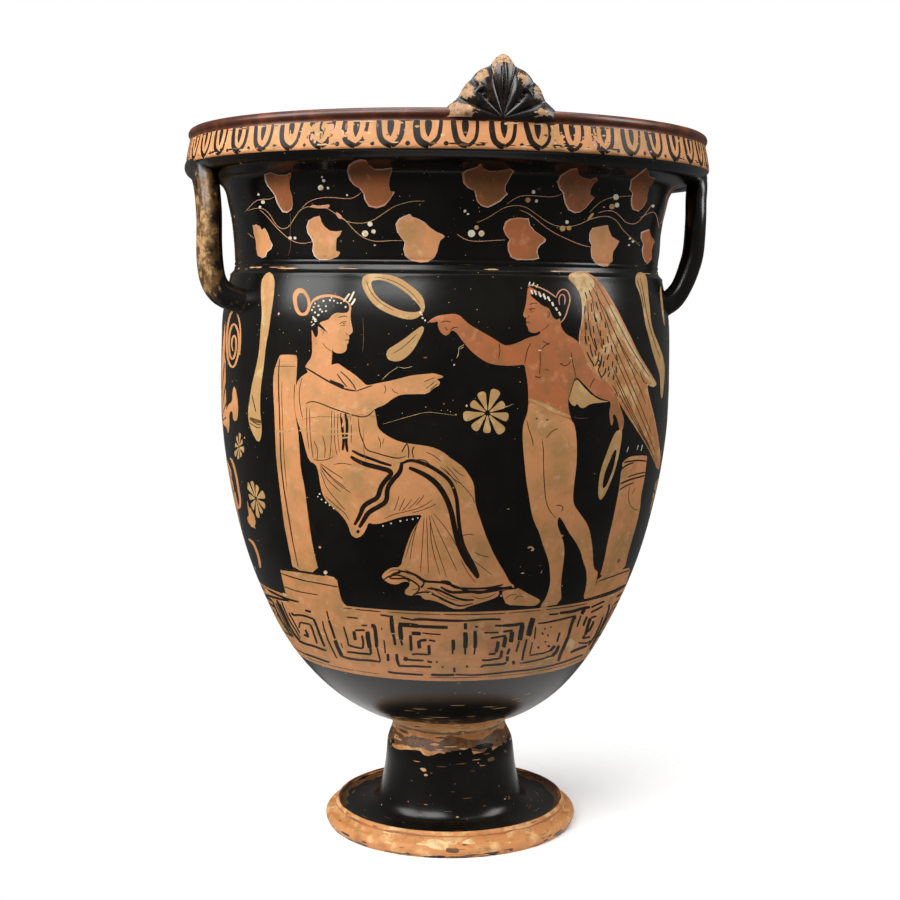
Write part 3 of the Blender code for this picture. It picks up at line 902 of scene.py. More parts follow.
@dataclass
class KeyBorder:
    """The band of separate square meander units under the scene, in worn brush strokes."""

    sheet: Unrolled
    view: Viewpoint
    low: float = 131.6
    high: float = 185.0
    middle: float = 159.5
    pen: float = 2.5
    drawn_from: float = -72.0
    drawn_to: float = 44.0
    left_unit: float = -80.0
    back_units: int = 10
    back_start: float = 64.0
    unit_step: float = 21.9
    last_start: float = 176.0
    seam: float = 178.0

    def paint(self, painting: Painting) -> None:
        """Lay the clay band, its two border lines and the units round the vessel."""
        edge = self.sheet.half_width + 5
        low, high = self.sheet.level(self.low), self.sheet.level(self.high)
        band = np.array([(-edge, low), (edge, low), (edge, high), (-edge, high)])
        painting.shapes.append((band, Paint.CLAY))
        chance = np.random.default_rng(5)
        streaks, washes = 150, (Paint.TAN, Paint.TAN, Paint.TAN, Paint.ROSE, Paint.CREAM)
        for _ in range(streaks):
            spot = chance.uniform(-edge, edge), self.sheet.level(chance.uniform(self.low + 1, self.high - 1))
            size = chance.uniform(6, 34), chance.uniform(0.7, 2.6)
            paint = one_of(washes, chance)
            painting.shapes.append((ragged(*size, chance) + spot, paint))
        self.border(painting, 180.4, 2.2, 0.86, chance)
        self.border(painting, 183.2, 0.8, 0.50, chance)
        self.border(painting, 137.4, 1.5, 0.80, chance)
        self.border(painting, 134.4, 0.7, 0.60, chance)
        behind = [self.back_start + self.unit_step * index for index in range(self.back_units)]
        for index, degrees in enumerate([self.left_unit, *behind]):
            self.unit(painting, degrees, index, chance)
        brush = Brush(painting, Thrown(self.sheet, self.view))
        brush.fill("570,637.7 574,640.5 575.5,643.3 570.6,651.8 565,650.4 567,644", Paint.CREAM, 1)
        tremble, fuller = 0.22, 1.12
        for width, stroke in self.front_strokes():
            points = through(as_points(stroke), 3)
            points += chance.uniform(-tremble, tremble, points.shape)
            brush.line(points, width * fuller, Paint.LINE, ends=0.8)

    def front_strokes(self) -> list[tuple[float, str]]:
        """Width and middle line of each stroke of the units that face the viewer, in drawing units."""
        drawn = parted(
            "1.6: 276.8,600 280,607 284.5,616 288,623 294.3,633.7; 2.0: 294.3,633.7 298,638.6 301.6,642.4"
            " 312,645.6 326.4,650.6; 1.2: 281.7,602 285.2,611.2 290,621 295.7,630.2 300.6,638.6; 1.2:"
            " 272.6,602 278,614 284,625 292.4,637; 1.3: 288.7,612.6 294.3,622.5 300,633; 1.8: 291.5,612.6"
            " 293.6,615 300.6,615 307,616.5 313.6,619; 2.2: 313.6,619 316,625 318.5,631 321,638 324.5,646.3;"
            " 1.6: 299.2,628 300,622.5 305.5,623.5 310.4,624.6; 1.8: 310.4,624.6 312.5,629.5 314.6,636.5"
            " 317,643.5; 2.0: 305.5,629.5 308.3,636.5 304,634.4; 2.0: 305.2,610.5 311,611.8; 2.0: 263,594"
            " 270,596.4 280,599 290,601 307.6,603.5; 1.8: 305.5,654 315.4,657.5 324,660.7 329.4,662.5; 1.4:"
            " 325.9,609 327.5,614 328.7,619.6; 2.2: 328.7,620 331.8,629 335,638.6; 3.4: 335,640 338,648"
            " 342,656.2; 2.0: 342,656.2 347,658.2 356.8,659.6 370,660.6 380.4,662; 1.5: 322.4,621"
            " 325.9,634.4 332.2,649 336.8,658.3; 1.6: 343.4,626.7 347,638 348.3,645; 1.9: 348.3,645 355,647"
            " 362.7,648.4; 2.2: 362.9,648.4 363.4,642 361.7,635.4; 1.4: 347,617.2 353,617.6 358.9,618.4;"
            " 3.0: 353.6,631 355.4,640; 1.8: 354.6,630.2 365,630.2; 2.0: 347.3,652 353.2,652.4 362,653.6"
            " 371,654.4; 1.0: 341,642.8 342.7,648.4; 4.2: 367.4,631.6 368.4,640 370,648; 2.4: 370,646"
            " 371.2,654; 1.4: 361.3,625 367.6,625.6; 3.4: 371,625.4 374.6,627 376,639.3 376.8,647; 1.6:"
            " 376.8,647 380.6,661.8; 1.4: 384,640 385.2,653.3; 2.6: 387.6,654 388.2,661.4; 1.2: 381.6,627.6"
            " 382.2,630; 1.6: 380.3,614.7 388,616.1 393.2,616.5; 3.8: 391.2,617 392.2,627 393,633; 2.6:"
            " 393.2,634 394.2,639 395.4,645; 1.6: 400.6,617.5 413.2,620; 2.4: 413,619.6 425.2,619.4"
            " 442.7,620.4 463.4,621; 4.0: 398.4,624.4 407,624.8 418.2,626.2; 3.0: 417,626.2 434.3,627"
            " 447.6,627.4; 4.2: 400,625.6 400.8,634 401,640; 2.0: 401,640 402.4,645.4; 3.4: 411.6,633.2"
            " 421,633.6; 1.4: 422.4,633 431,634 440.6,634.4; 2.8: 410.4,635 410.8,642 411.3,651.2; 1.7:"
            " 411.8,654.4 418.2,654 429.4,654.7; 3.6: 418.6,640.6 419.6,648.4; 2.6: 419.6,640.7 426.6,640;"
            " 1.6: 428.7,640 435.7,641.4; 3.0: 429,645 429.6,654.7; 3.6: 403.6,658.4 407.6,659.6; 1.9:"
            " 406,659.4 414,660.2 423.8,660.4; 2.0: 427.3,661.4 432.2,662; 2.0: 436,662 437.8,662.2; 2.8:"
            " 396.4,654 397.1,659.6 398.4,665.2; 2.0: 398.2,665.6 404,666 418.2,666.3 431.5,667; 1.6:"
            " 441.8,667.4 443.6,666.6; 1.9: 388,671.6 394.3,673 408.3,674 423,675; 2.4: 431,674.7 442,675.2"
            " 454.6,675; 2.2: 454,667.4 454.6,672.3; 3.4: 452.9,639.6 453.4,645 453.2,650; 1.8: 453,648"
            " 452.5,654.4; 3.0: 465.2,623 465.5,629.5; 4.2: 465.5,632.3 465.5,640 465.2,648; 2.0: 465.2,647"
            " 465.2,654.4; 1.9: 463.4,621 481.7,619.6 494.3,619.3 501,619.4; 3.4: 475,630.4 475.4,640"
            " 475,648; 1.6: 475,647 474,654.7; 1.8: 475.2,626.7 478,626.7; 2.0: 495,625.6 504,625.7; 2.8:"
            " 503,625.7 511.8,625.3 518.2,624.2 524.4,623.6; 4.6: 522.4,625 521,633.7 519.8,640.6; 1.9:"
            " 519,641 517.5,647.7 516,652; 1.6: 483.8,633 498.5,632.3; 2.0: 503.4,631.6 512.8,630.4; 4.2:"
            " 512.2,631.4 511.6,637 510.6,642.4; 2.4: 509.6,648.4 507.3,654.7; 2.8: 507.6,656 507.1,661.4;"
            " 2.0: 506.8,662 503,664 495,664.8 485.2,665.4 480.6,666.7; 1.9: 490.8,637.9 498,637"
            " 506.4,635.4; 3.8: 505.6,636.6 503.6,647.4; 2.8: 501.9,650.5 500.6,658; 1.9: 500.4,658.4"
            " 493,659.4 486.6,660.4 481.7,660; 3.2: 498.5,641.4 497.2,647.7 496,652; 1.9: 495.8,652.8"
            " 493.6,654 488.7,654; 2.2: 466,666.6 468,666.2; 2.8: 513.2,661 514,664.6; 5.0: 533.2,617.8"
            " 530.8,626 528.4,636; 2.2: 526.6,639.3 524.1,650.5 521.9,660.4; 2.0: 520.4,663.6 521.6,663.4;"
            " 1.4: 535.7,626.7 534.3,639.3; 1.3: 532.2,642 530,654.7; 1.7: 538.3,623.7 554.5,620.9"
            " 568.5,617.4 576.2,616; 1.3: 544,629.6 546,628.2; 1.3: 550,627.4 551.6,626.6; 1.6: 541.6,632.6"
            " 543.6,634.6; 1.6: 547.2,634.6 548.8,635.8; 1.6: 545,641.2 546,642.6; 2.0: 538.4,646.4"
            " 538.6,648.6; 2.0: 547.6,646.6 550,645.8; 1.8: 560,632.3 556.8,642; 2.6: 555,645.8 550.4,650.8;"
            " 1.5: 550.4,650.8 542.7,653.3 529.4,655.4; 2.8: 559,645.4 556.2,651.8 552,656; 1.6: 552,656"
            " 539.2,659.6 532.9,661 522.4,663; 2.8: 564.5,645 561.4,652 558.2,661; 1.7: 455,674.6 479.6,675"
            " 514.6,671.4 532.2,669.5 546.2,666.7 565,661.8 583.2,654.6; 1.7: 549,614.2 554,614.4"
            " 558.7,613.6; 2.6: 560,613 571.3,611.6 582.5,608.4 590,607.2; 3.2: 584.6,608.4 581.8,614; 1.5:"
            " 581,615.3 577,627.2; 2.8: 575.5,616.4 572.7,620.6 570.6,627.9 568.5,635.6; 2.8: 568.3,636"
            " 564.3,646 562.9,649.6; 1.7: 591,612.5 595.2,610.4 602.9,606; 1.7: 591,607.5 604.3,601.2; 2.1:"
            " 586.8,616.7 583.2,625.8; 1.7: 591,617.4 596.6,616.3; 2.8: 590.6,618 588.2,625 585.4,635; 2.0:"
            " 585.2,635 582.5,638.6; 1.7: 582.5,638.4 590.3,636.7; 2.1: 593.4,620.9 591.7,626.5 588.2,632;"
            " 1.6: 602.9,616.7 599.4,626.5 593.8,637.7 588.2,645.4; 1.6: 609.2,604 607.8,613.2 599.4,632"
            " 589.6,649.6; 1.5: 578.3,642.6 586,643.3 590.3,640.5; 2.2: 570.6,652.5 578.3,649 586.8,646"
        )
        return [(float(width), stroke) for width, stroke in (line.split(":") for line in drawn)]

    def border(
        self, painting: Painting, height: float, width: float, share: float, chance: np.random.Generator
    ) -> None:
        """A line round the vessel in worn lengths; a wide one leaves out the part that is drawn stroke by
        stroke.

        Args:
            painting: what it is added to.
            height: its height in millimetres.
            width: its width in millimetres.
            share: how much of it is left.
            chance: the source of its breaks.
        """
        degrees = -180.0
        while degrees < self.last_start:
            length = chance.uniform(6, 19)
            drawn = self.drawn_from < degrees < self.drawn_to and width > 1.0
            if chance.random() < (0.0 if drawn else share):
                brush = Brush(painting, Around(self.sheet, degrees, height))
                turned = math.radians(min(length, self.seam - degrees))
                reach = turned * self.sheet.radius(self.sheet.level(height))
                rise = chance.uniform(-0.3, 0.3, 5)
                line = np.stack([np.linspace(0, reach, 5), rise], axis=1)
                brush.line(line, width * chance.uniform(0.7, 1.25), ends=0.5)
            degrees += length + chance.uniform(0.4, 2.4)

    def unit(self, painting: Painting, degrees: float, index: int, chance: np.random.Generator) -> None:
        """One square spiral and the bars beside it, with gaps where the slip is gone."""
        turned = degrees - 360 if degrees > 180 else degrees
        brush = Brush(painting, Around(self.sheet, turned, self.middle))
        spiral = square_spiral(30.0, 33.0, 3, 5.4) * ((-1.0 if index % 2 else 1.0), 1.0)
        for start, end in zip(spiral, spiral[1:]):
            length = float(np.linalg.norm(end - start))
            if length < 2.5 or chance.random() < 0.06:
                continue
            from_share = chance.choice((0.0, 0.0, 0.0, 0.18))
            to_share = chance.choice((1.0, 1.0, 1.0, 0.80, 0.62))
            along = np.linspace(from_share, to_share, 4)[:, None]
            stroke = start + (end - start) * along + chance.uniform(-0.22, 0.22, (4, 2))
            brush.line(stroke, self.pen * chance.uniform(0.75, 1.35), ends=0.75)
        for side in (19.2, 23.4):
            top, bottom = chance.uniform(12, 19), chance.uniform(-19, -8)
            bar = np.array([(side, top), (side + 0.3, 4.0), (side - 0.2, bottom)])
            brush.line(bar, self.pen * chance.uniform(0.8, 1.6))


@dataclass
class SeatedFigure:
    """The draped figure that sits on a plinth before an upright post, facing right."""

    head: str = (
        "310.5,303 313,299 318,295.8 325,294.4 333,294.6 341,296.8 348,301.3 351.6,306.5 350.6,312.5"
        " 350.6,319 351.8,325 353,331.2 351.4,333.8 348.6,335.2 349.6,338.2 348.2,340 348.9,342.2"
        " 346.8,344.8 347,349 344.4,352.4 340,353.6 335.5,353 332,350 331,340 326,330 318,322 311,318"
        " 309,310"
    )
    dress: str = (
        "312,322 311.6,335 312.4,350 311.5,357 308,362 305,366.5 306.5,369.5 308.3,372.3 303.3,375 299,379"
        " 296.5,384 294.4,392 294.3,406 296.5,419 301.5,432 305,448 309,461 315.8,464.3 318.4,472 320.6,488"
        " 324,498 331.7,506.5 340,513.3 347.3,523 350,531.5 352,536 356.7,538.4 362.5,535.5 366.5,528.5"
        " 368.3,522.5 374,524.5 383.3,522.8 400,517 413,515.2 422.6,514.6 418.3,521.7 411.7,531.7 406.7,545"
        " 403.3,556.7 400.4,567.2 391.7,567.3 386.3,570.6 381.4,575.8 383.3,579.4 389.2,583.5 397,584.8"
        " 403,581.5 409.6,582 409.5,586.5 405,590 405,594.5 411,596 420,594.2 423.3,599.4 431.7,600"
        " 441.7,603.3 451.7,608.5 461.7,609.4 470,606 482,602.5 490,600 497,597 499.5,593.5 498.2,590.8"
        " 505,590 513.8,588 514.4,585.3 510,583 504.6,572.3 497.7,561.5 490.8,547.7 484.6,532.3 480,518.5"
        " 475.5,505 474.6,494 474,484 470,476.5 463.3,466.7 451.7,459 441.7,450.7 430,446.5 416.7,444.6"
        " 400,442.2 385,434.8 377.5,427.5 376.6,420 375,411.7 374.2,408.8 385,404.8 393.3,398 401.7,394.2"
        " 416.7,394.2 427.5,394 433.3,388.3 439.4,385.3 440.2,381.5 435.8,379.3 443.9,377.2 441.9,375.5"
        " 433.3,373 428.3,373.9 413.3,375 400,378.2 391.7,380.6 381.7,382.4 371,384.6 366.5,385.6 361,380"
        " 353,373.3 345,368.3 338.3,363.3 334,364 331.2,365.2 332,358 332.3,348 331,335"
    )
    shoe: str = (
        "501.2,592.4 506,590 516,587.4 522,590 528,593.8 535.4,597.4 540.4,600 539.4,603.2 533.8,606.2"
        " 521.5,605.6 506.2,604.8 504,599.5"
    )

    def paint(self, brush: Brush) -> None:
        """Lay the figure: clay shapes first, then hair, stripes, folds and white."""
        brush.fill(
            "293,303 292.6,294 296.4,288.6 300.8,287.8 305,289.8 308.5,295 311,302 309,312 306.5,315.5"
            " 300,316 295.6,312",
            Paint.CLAY,
        )
        brush.fill(
            "297,305 296.6,296.8 300,292.4 303.4,293.2 306.6,298 308.2,305.5 305.4,312.6 300.4,313.2",
            Paint.GLOSS,
        )
        brush.fill(self.head, Paint.CLAY, 1)
        brush.fill(self.dress, Paint.CLAY, 1)
        brush.fill(self.shoe, Paint.CLAY)
        self.hair(brush)
        self.face(brush)
        self.stripes(brush)
        self.folds(brush)

    def hair(self, brush: Brush) -> None:
        """Black hair with white beads, and the white points of the diadem."""
        brush.fill(
            "311.6,303 318,298.8 327,296.6 336,297.4 343,300.2 349.6,304.6 348.8,312.4 342,313.2 336,312.4"
            " 331,315.6 328.4,320 320,321.8 317.6,326.6 318.4,334 315.8,338.4 312.6,332 310.4,325 308.9,314",
            Paint.GLOSS,
        )
        brush.dots(
            "315,303.5 318.5,305.8 323.5,301 326,306 330,300.2 312,310 315,312.5 318.3,315 313.2,317"
            " 320,309.5",
            1.0,
        )
        brush.dots(
            "311.6,322 315.8,319.4 334,300.6 337.5,303 322,311.6 331.6,297.8 341,303 345.6,307 313.6,307"
            " 326,311",
            0.85,
        )
        brush.lines(
            "343.4,301.5 347.5,296.5 349.5,293.6; 348.8,302 351.6,297 354,291.4; 351,305 354,301.4"
            " 355,298.4",
            1.9,
            Paint.WHITE,
        )
        brush.lines("312.4,319.5 315,317.2 314.4,322 317,320.8; 311.6,325.8 314.5,323.6", 1.1, Paint.WHITE)

    def face(self, brush: Brush) -> None:
        """A plain, calm profile."""
        brush.line("338.4,317.6 342.4,316 347.4,316.4", 0.8)
        brush.line("339.4,324 342.6,321.6 346.6,321.8", 0.8)
        brush.line("340.4,325.2 343.4,325.8 346,324.8", 0.55)
        brush.dots("343.9,323.6", 0.95, Paint.LINE)
        brush.line("348.4,335.2 346.4,334.2 346,332.4", 0.6)
        brush.line("345,340.2 347,339.8 348.6,340", 0.75)
        brush.line("320.8,331 322.4,328.4 324.4,330.4 322.4,334.6", 0.65)
        brush.line("332.2,351.4 326,348 322.6,343", 0.6)

    def stripes(self, brush: Brush) -> None:
        """The black double border of the mantle."""
        wide = 4.9
        brush.line(
            "350.6,456.6 358,461.4 368,465.2 379,467.6 389.6,470.6 391.8,474 385.6,480.4 380.6,487 378,498"
            " 370,501.6 362.8,506.6 360.4,515 354.4,525",
            wide,
        )
        brush.line(
            "401.8,462 400.8,471.6 392.2,480.4 387,488.6 387,501.6 378.4,507 368.6,512 363.8,520"
            " 359.2,527.6",
            wide,
        )
        brush.line("352,450.6 360,455 370,458.4 381,462.6 391.6,465.6", 2.9)
        brush.line(
            "402,463.4 410.4,459.6 425,463.6 440,472 451.4,482 456.6,497 458,510 458.8,524 461.8,541.6"
            " 466.8,553.6 473.4,563.6 478.8,576",
            wide * 0.8,
        )
        brush.line(
            "409,467.6 425,474.4 437.4,483.8 446,497 451.6,512 454.4,528 458.6,545 465,558.6 473,570.6"
            " 478.4,578",
            wide + 0.5,
        )
        brush.line("340.8,413.4 342.6,430 343.8,441.6 342.6,450.4", 2.6)
        brush.line("345.2,413.6 347.6,425 345.8,441.6 347.6,452", 2.9)
        brush.line("304.5,367.2 315,373.3 325,379.6 335,384.8 345,389.4 356.4,391", 1.7)
        brush.fill("327.5,378.5 334,381 340,383.2 345,386 343,388.4 335,385.6", Paint.LINE)
        brush.line("389,577.6 394.6,573.2 400.6,572.6", 2.4)
        brush.line("389.6,578.4 398,578.8 406,578 410,582", 1.8)
        brush.dots("358,531.6", 2.1, Paint.LINE)
        brush.line("440.6,587 449,592 458,592.6 470,591.4 480,592.4 492,591 498,589.4 512,586.6", 3.0)
        brush.line("441,581 449.6,581.6 452.4,587.4 464,588.6 478,588.8 490,588 503,584.6", 2.2)

    def folds(self, brush: Brush) -> None:
        """Thin diluted-slip fold lines."""
        brush.lines(
            "305.5,404 311,401 320,403 331,408 345,412.6 357,416.6 366,417 371,413.5 374,409.5; 356.4,391"
            " 366,387.8 372,385.4; 340,371 347,377 353,384 356,390; 337,373.6 342,381 347,387; 358.3,417"
            " 359.2,431.7 363.3,441.7 365.8,450 375,452.6 391.7,457.6 400,458.4 406,456; 402,452 405,445.6"
            " 408,442.6; 408.4,458 409,450 407.4,444; 413.4,458 412,450 414.4,446.6; 417.6,459.6 425,460"
            " 430,465",
            1.15,
        )
        brush.lines(
            "306.6,407 306.8,432 309,449; 309.6,408 310,435 313,458; 314,441 318,450 317,461; 322.6,436"
            " 325.6,447 324.4,458; 331.6,411 331.6,440 329.6,459; 334.4,414 334.2,441 337,455; 338,414"
            " 337.4,432 339.4,452; 350,414 351.6,430 351,443; 302,378 299,390 299.6,404 302.6,418; 313,459"
            " 320,461 329,459 333,456.4; 320,463.4 330,470.4 343,478.6; 320,464.6 330,476 346,488;"
            " 320,466.6 327,480 341,492; 320.4,470.6 326,488 339,503 345,510; 322,468 336,483 351,493;"
            " 334,464.4 342,463 352,465; 325,496 336,506 345,513 349,520; 399,496 397,504 394,511; 405,498"
            " 402,505 399,511; 412,499 407,506 402,511; 420,497 414,504 408,509; 433,499.6 424,506 410,511"
            " 394,514 384,519; 436,504 426,509 412,513; 424,495 421,500 416,505; 421,516.4 412,535"
            " 405.4,558; 424,517 422.4,545 420.4,572; 426.6,517 427.6,548 428.4,573; 429,515.4 434,540"
            " 447,578; 431,515 440,535 457,571; 433.4,513.4 447,529 460,552; 430,517 431,545 440,575;"
            " 417.4,523 412.6,541 410,560; 440,466.6 447,472.6 455,480 461.4,484; 446,466 453,473 459,481;"
            " 452,466.6 459,474 465,476.4; 444,468 452,477 457,484; 459,481.6 466,489 472.6,497 475,503;"
            " 426,452 434,455.4 441,461.4; 378,437 381,443 380,448; 384,438.6 382.6,444; 462,536 468,534"
            " 474,535; 474,552 482,556 489,557; 474,561 483,568 492,575; 461,560 467,572 476,583; 404,569"
            " 412,573 419,579 425,583 432,581; 388,572.6 394,569.4 402,570.4 410,575; 412,590 418,589"
            " 424,583.6; 424,590 432,592 441,600 452,604; 430,586 440,594 450,599 458,600.6; 440,597"
            " 449,603.6 459,606.4; 472,596 479,599 488,597.6 496,593.4; 505,599 511,594 517,595; 514,600"
            " 518,595.4 524,597; 426,388.4 431,385 434.4,381.6; 430,390.4 434,386.6 438,383.6; 424,382"
            " 429,379.6 434.4,377.8; 391.6,388 394,392 398,393.4; 384,384.6 386.4,389 384,393.6",
            0.72,
        )
        brush.dots("317.8,496.6 321.6,499.6 325.8,502.4 329.6,505.2 319.6,494 333.6,508.6", 0.8)
        brush.lines(
            "383,580.6 388,576.4 396.7,574.6 405,577 413.3,581.2 420,586.6 418,592 412.6,595.4; 412.6,595.4"
            " 419,592.6 426.7,591.7 433,594.6 440,597.4 450,602.6 460,606.6 473,603.4; 421,588 424.6,583.6"
            " 421.6,578.4",
            1.7,
        )
        brush.lines(
            "398,571 408,572 416.7,575.4 422,579.4 427,581.8 440,582 450,584.4 457,587 468,591.4 480,593.6;"
            " 480,593.6 489,589.6 496.7,587.2 506,588.8 517,588.2; 427,588.4 434,588.8 440,590.4 448,594.4"
            " 457,598.4 465,600.2 474,599.8",
            2.3,
        )
        brush.dots("383,526 391,523.4 400.4,521 407,520 412.8,519.2 417.8,518", 0.9)


@dataclass
class WingedYouth:
    """The winged youth who stands on the right, facing left, with an arm held out and a thin wreath."""

    head: str = (
        "528,286 527,295 526.4,301 525,308 522.8,315 524.6,317.4 526.8,318 525.6,320.8 526.8,322.4"
        " 526,324.8 528,327.4 528.6,331 531.8,333 536.4,332.8 541,330.6 548,334 560,334 561,322 558,312"
        " 552,304 544,297 536,290"
    )
    body: str = (
        "541,330 539.6,335 528.3,337.5 516.7,343.3 506.7,345.8 501.7,344 493.3,338.3 483.3,332.5 470,325"
        " 463.3,319 459.2,315 453.3,313.5 445,314.6 436.7,315.8 430,320 428.4,322.2 432.5,322.6 438.4,321.2"
        " 437.5,325 440,331.7 445,336 449.4,334.2 450.8,330 455.8,331.7 460,337.5 465,344.2 471.7,351.7"
        " 480,358.3 488.3,363.3 498.3,365.2 510,366 521.7,364.8 524.7,365 525.8,371.7 527.5,381.7 528.4,395"
        " 528.3,406.7 527.5,413.3 523.3,423.3 522.4,435 523.3,450 525,468.3 526.7,483.3 529.2,498.3"
        " 531.4,512.5 534.6,523 539.2,532.3 543.8,547.7 548.5,560 550,570.8 550.4,581.5 549,589.2 546,598"
        " 541.5,604.4 540.6,607.6 544,608 549.2,605.6 557,604.8 558.6,601.8 561.6,598.5 560.8,589.2"
        " 561.5,577 563.1,566.2 564.6,552.3 563.8,543 560.8,533.8 557.7,526.2 557.5,520.8 559.2,516.4"
        " 563.1,521.3 567.7,530.8 575.4,541.5 580.8,551.5 583.1,561.5 586.2,569.2 586.9,578.5 586,587.7"
        " 583,598.8 588,598.8 593.1,593.1 595.6,584.6 597,578.5 598,571 594.6,570 593.1,563.1 592.8,550.8"
        " 590.8,535.4 587.7,524.6 581.5,515.4 574.6,506.2 573,500 573.4,490.8 574.8,478.5 576.4,466.2"
        " 577,452.3 576.6,438.5 574.8,424.6 571.5,420 570,415 568.3,406.7 568.3,398.3 570.8,391.7"
        " 575.8,375.8 583.3,383.3 591.7,392.5 600,398.4 610,400.9 610.8,405 609.2,411.7 610,420 611.4,427"
        " 613.5,421.7 612.6,415 615,414.2 617.6,420 619.2,428.3 620,433.5 622.6,430 624.4,421.7 622.6,413.3"
        " 619.3,405 617.6,396.7 613.4,390 606.8,381.7 596.8,375 588.4,366.7 585,356.7 581.7,348.3"
        " 578.3,341.7 572.5,337.5 566.7,334.6 561.4,328.3 560.4,322"
    )
    wing: str = (
        "568,279 569,274 575,271.6 584.2,271.2 591.7,274.8 600,281.5 606.7,291.5 614.2,303.3 623.3,321.7"
        " 631.7,338.3 638.3,353.3 646.7,366.7 655.8,381.5 656.9,385 652.6,387.8 646.7,383.5 649.2,396.7"
        " 653.3,411.7 656.7,428.3 659.6,446.7 661,457 658.6,472.6 655,461.7 646.7,445 635,426.7 625.8,413.3"
        " 617,398 605,382 588,368 580,348 578.6,340 580,328.3 581.7,315 581.7,301.7 578.3,290 573.3,283.3"
    )

    waist: str = "528.6,402 536,404.4 548,410.4 560,416 570.6,419.4 574.8,426"
    below_waist: tuple[int, int] = (37, 96)

    def paint(self, brush: Brush) -> None:
        """Lay the wing, the figure and the wreath, then hair, muscles and feathers."""
        wing = as_points(self.wing)
        brush.fill(wing, Paint.ROSE)
        brush.fill(wing + np.clip(np.array([602.0, 350.0]) - wing, -1.0, 1.0), Paint.BARE)
        self.feathers(brush)
        brush.fill(
            "570.6,391.7 576,377 583,386.6 592,395 600,400.4 611,401.4 600,402.7 590,403.7 584,408.4"
            " 580,407.6 577,403.2 574.8,406.6 571,404.2 568.6,399",
            Paint.TAN,
        )
        brush.fill(self.head, Paint.RUDDY, 1)
        brush.fill(self.body, Paint.RUDDY, 1)
        legs = as_points(self.body)[slice(*self.below_waist)][::-1]
        brush.fill(np.vstack([as_points(self.waist), legs]), Paint.CLAY, 1)
        self.hair(brush)
        self.muscles(brush)
        self.wreath(brush)

    def feathers(self, brush: Brush) -> None:
        """Pale leading edge, long feather lines and the short covert marks."""
        brush.fill(
            "569,277 573,273 583,272.4 590,276 596,284 590,292 585,303 583,318 581,330 581.4,316 581.6,301"
            " 578,290 573,283",
            Paint.CREAM,
        )
        brush.fill(
            "612,303 621,321 630,339 637,354 646,368 654.6,383 652,385.6 645,377 636,362 626,345 616,326"
            " 607,309",
            Paint.CREAM,
        )
        brush.lines(
            "594,278.6 604,295 613,313 622,331 631,348 641,364 650,378; 590,283 600,301 610,322 620,343"
            " 630,361 640,377; 604,306 612,326 621,347 630,366 638,384 646,404; 608,330 616,349 625,370"
            " 634,390 643,411 651,433; 612,350 620,368 629,389 638,410 647,431 655,452; 612,366 620,384"
            " 629,404 638,423 647,442 654,458; 616,380 624,398 633,416 642,434 650,450; 618,392 627,409"
            " 636,425 645,441; 640,372 643,381 647,384; 596,290 600,305 606,320 610,333; 592,296 594,312"
            " 598,330 603,345; 588,300 588,318 591,336 597,352; 585,312 585,330 587,346; 578,290 581.4,301"
            " 581.8,315 580.4,330",
            0.8,
        )
        brush.lines(
            "599,352 598,361 595,366; 602,355 601,364 598,370; 606,347 605,353; 609,354 607,360; 613,361"
            " 612,367; 590,344 591,351 593,357; 594,338 596,345 597,350; 603,339 604,345; 587,352 590,359"
            " 594,365; 600,330 601,336; 593,326 594,333; 605,322 606,328; 606,368 605,373 602,377; 596,318"
            " 597,324; 610,372 608,377; 588,336 589,341; 598,370 600,374 602,379; 614,375 613,380; 585,306"
            " 584.6,314; 588,312 588.6,321; 591,303 592,312; 596,302 598,310; 586,322 586.6,330; 590,328"
            " 591,337; 594,314 595.6,322; 600,312 602,320; 585,336 586,344; 595,350 596,356; 604,361"
            " 603,367; 609,366 608.4,371; 601,343 602.6,349; 607,336 608.6,343; 611,345 612.4,352; 616,354"
            " 617.4,361; 592,361 594,367; 616,366 616.6,373; 585,292 587,299; 589,290 591.6,297;"
            " 596.6,362.4 598.6,360 600.8,362.6 598.4,366",
            1.35,
        )

    def hair(self, brush: Brush) -> None:
        """Hair held in a loop, with a row of white beads, and a calm profile."""
        brush.fill(
            "555.6,297 558,293 562,289.8 566,290.4 568.8,295 569.4,301 567.2,308 565.4,314 562,320 558,318",
            Paint.GLOSS,
        )
        brush.line("527.8,286.4 532,284.6 538,286.8 545,289.8 551,293.4 556,297.4", 1.2, Paint.ROSE)
        brush.line(
            "556,297.6 558,292.6 562,289 566.6,289.8 569.6,294.8 570.2,301 568,308 566.4,314 564,319"
            " 560.4,323",
            1.2,
            Paint.ROSE,
        )
        brush.line("559.6,305 558.6,299 560.6,294.6 563.8,294.4 565.4,299 564.4,304.6", 1.0, Paint.ROSE)
        brush.fill(
            "530.2,295.4 531,291 536,291.4 543,293.4 550,297 555,302 559.4,309 561,315.4 558,320.2"
            " 553.6,318.4 550.8,312.6 549,308 543.4,306.4 538,302 534,298.6",
            Paint.GLOSS,
        )
        brush.lines(
            "531,290 532.6,294; 534.6,290.4 536.4,295; 538.6,291.6 541,297; 543.2,293.6 545.6,299.4",
            2.0,
            Paint.WHITE,
        )
        brush.lines(
            "547.6,296.4 550,301; 552,302 553.4,306; 555.6,307.4 557.4,310.6; 558.8,311.8 560.6,315.6",
            2.0,
            Paint.WHITE,
        )
        brush.lines("529,285 530,281.8; 532.4,286 534,282.6; 536,287.4 537.8,284.4", 1.3, Paint.WHITE)
        brush.line("529.6,304.6 533.4,302.8 537.4,303.6", 0.8)
        brush.line("528.4,310 531.6,308.2 535.6,309", 0.8)
        brush.line("529,311.6 532,312.2 534.6,311.4", 0.5)
        brush.dots("531,310", 0.95, Paint.LINE)
        brush.line("526.6,317.8 528.6,317 529,315.4", 0.6)
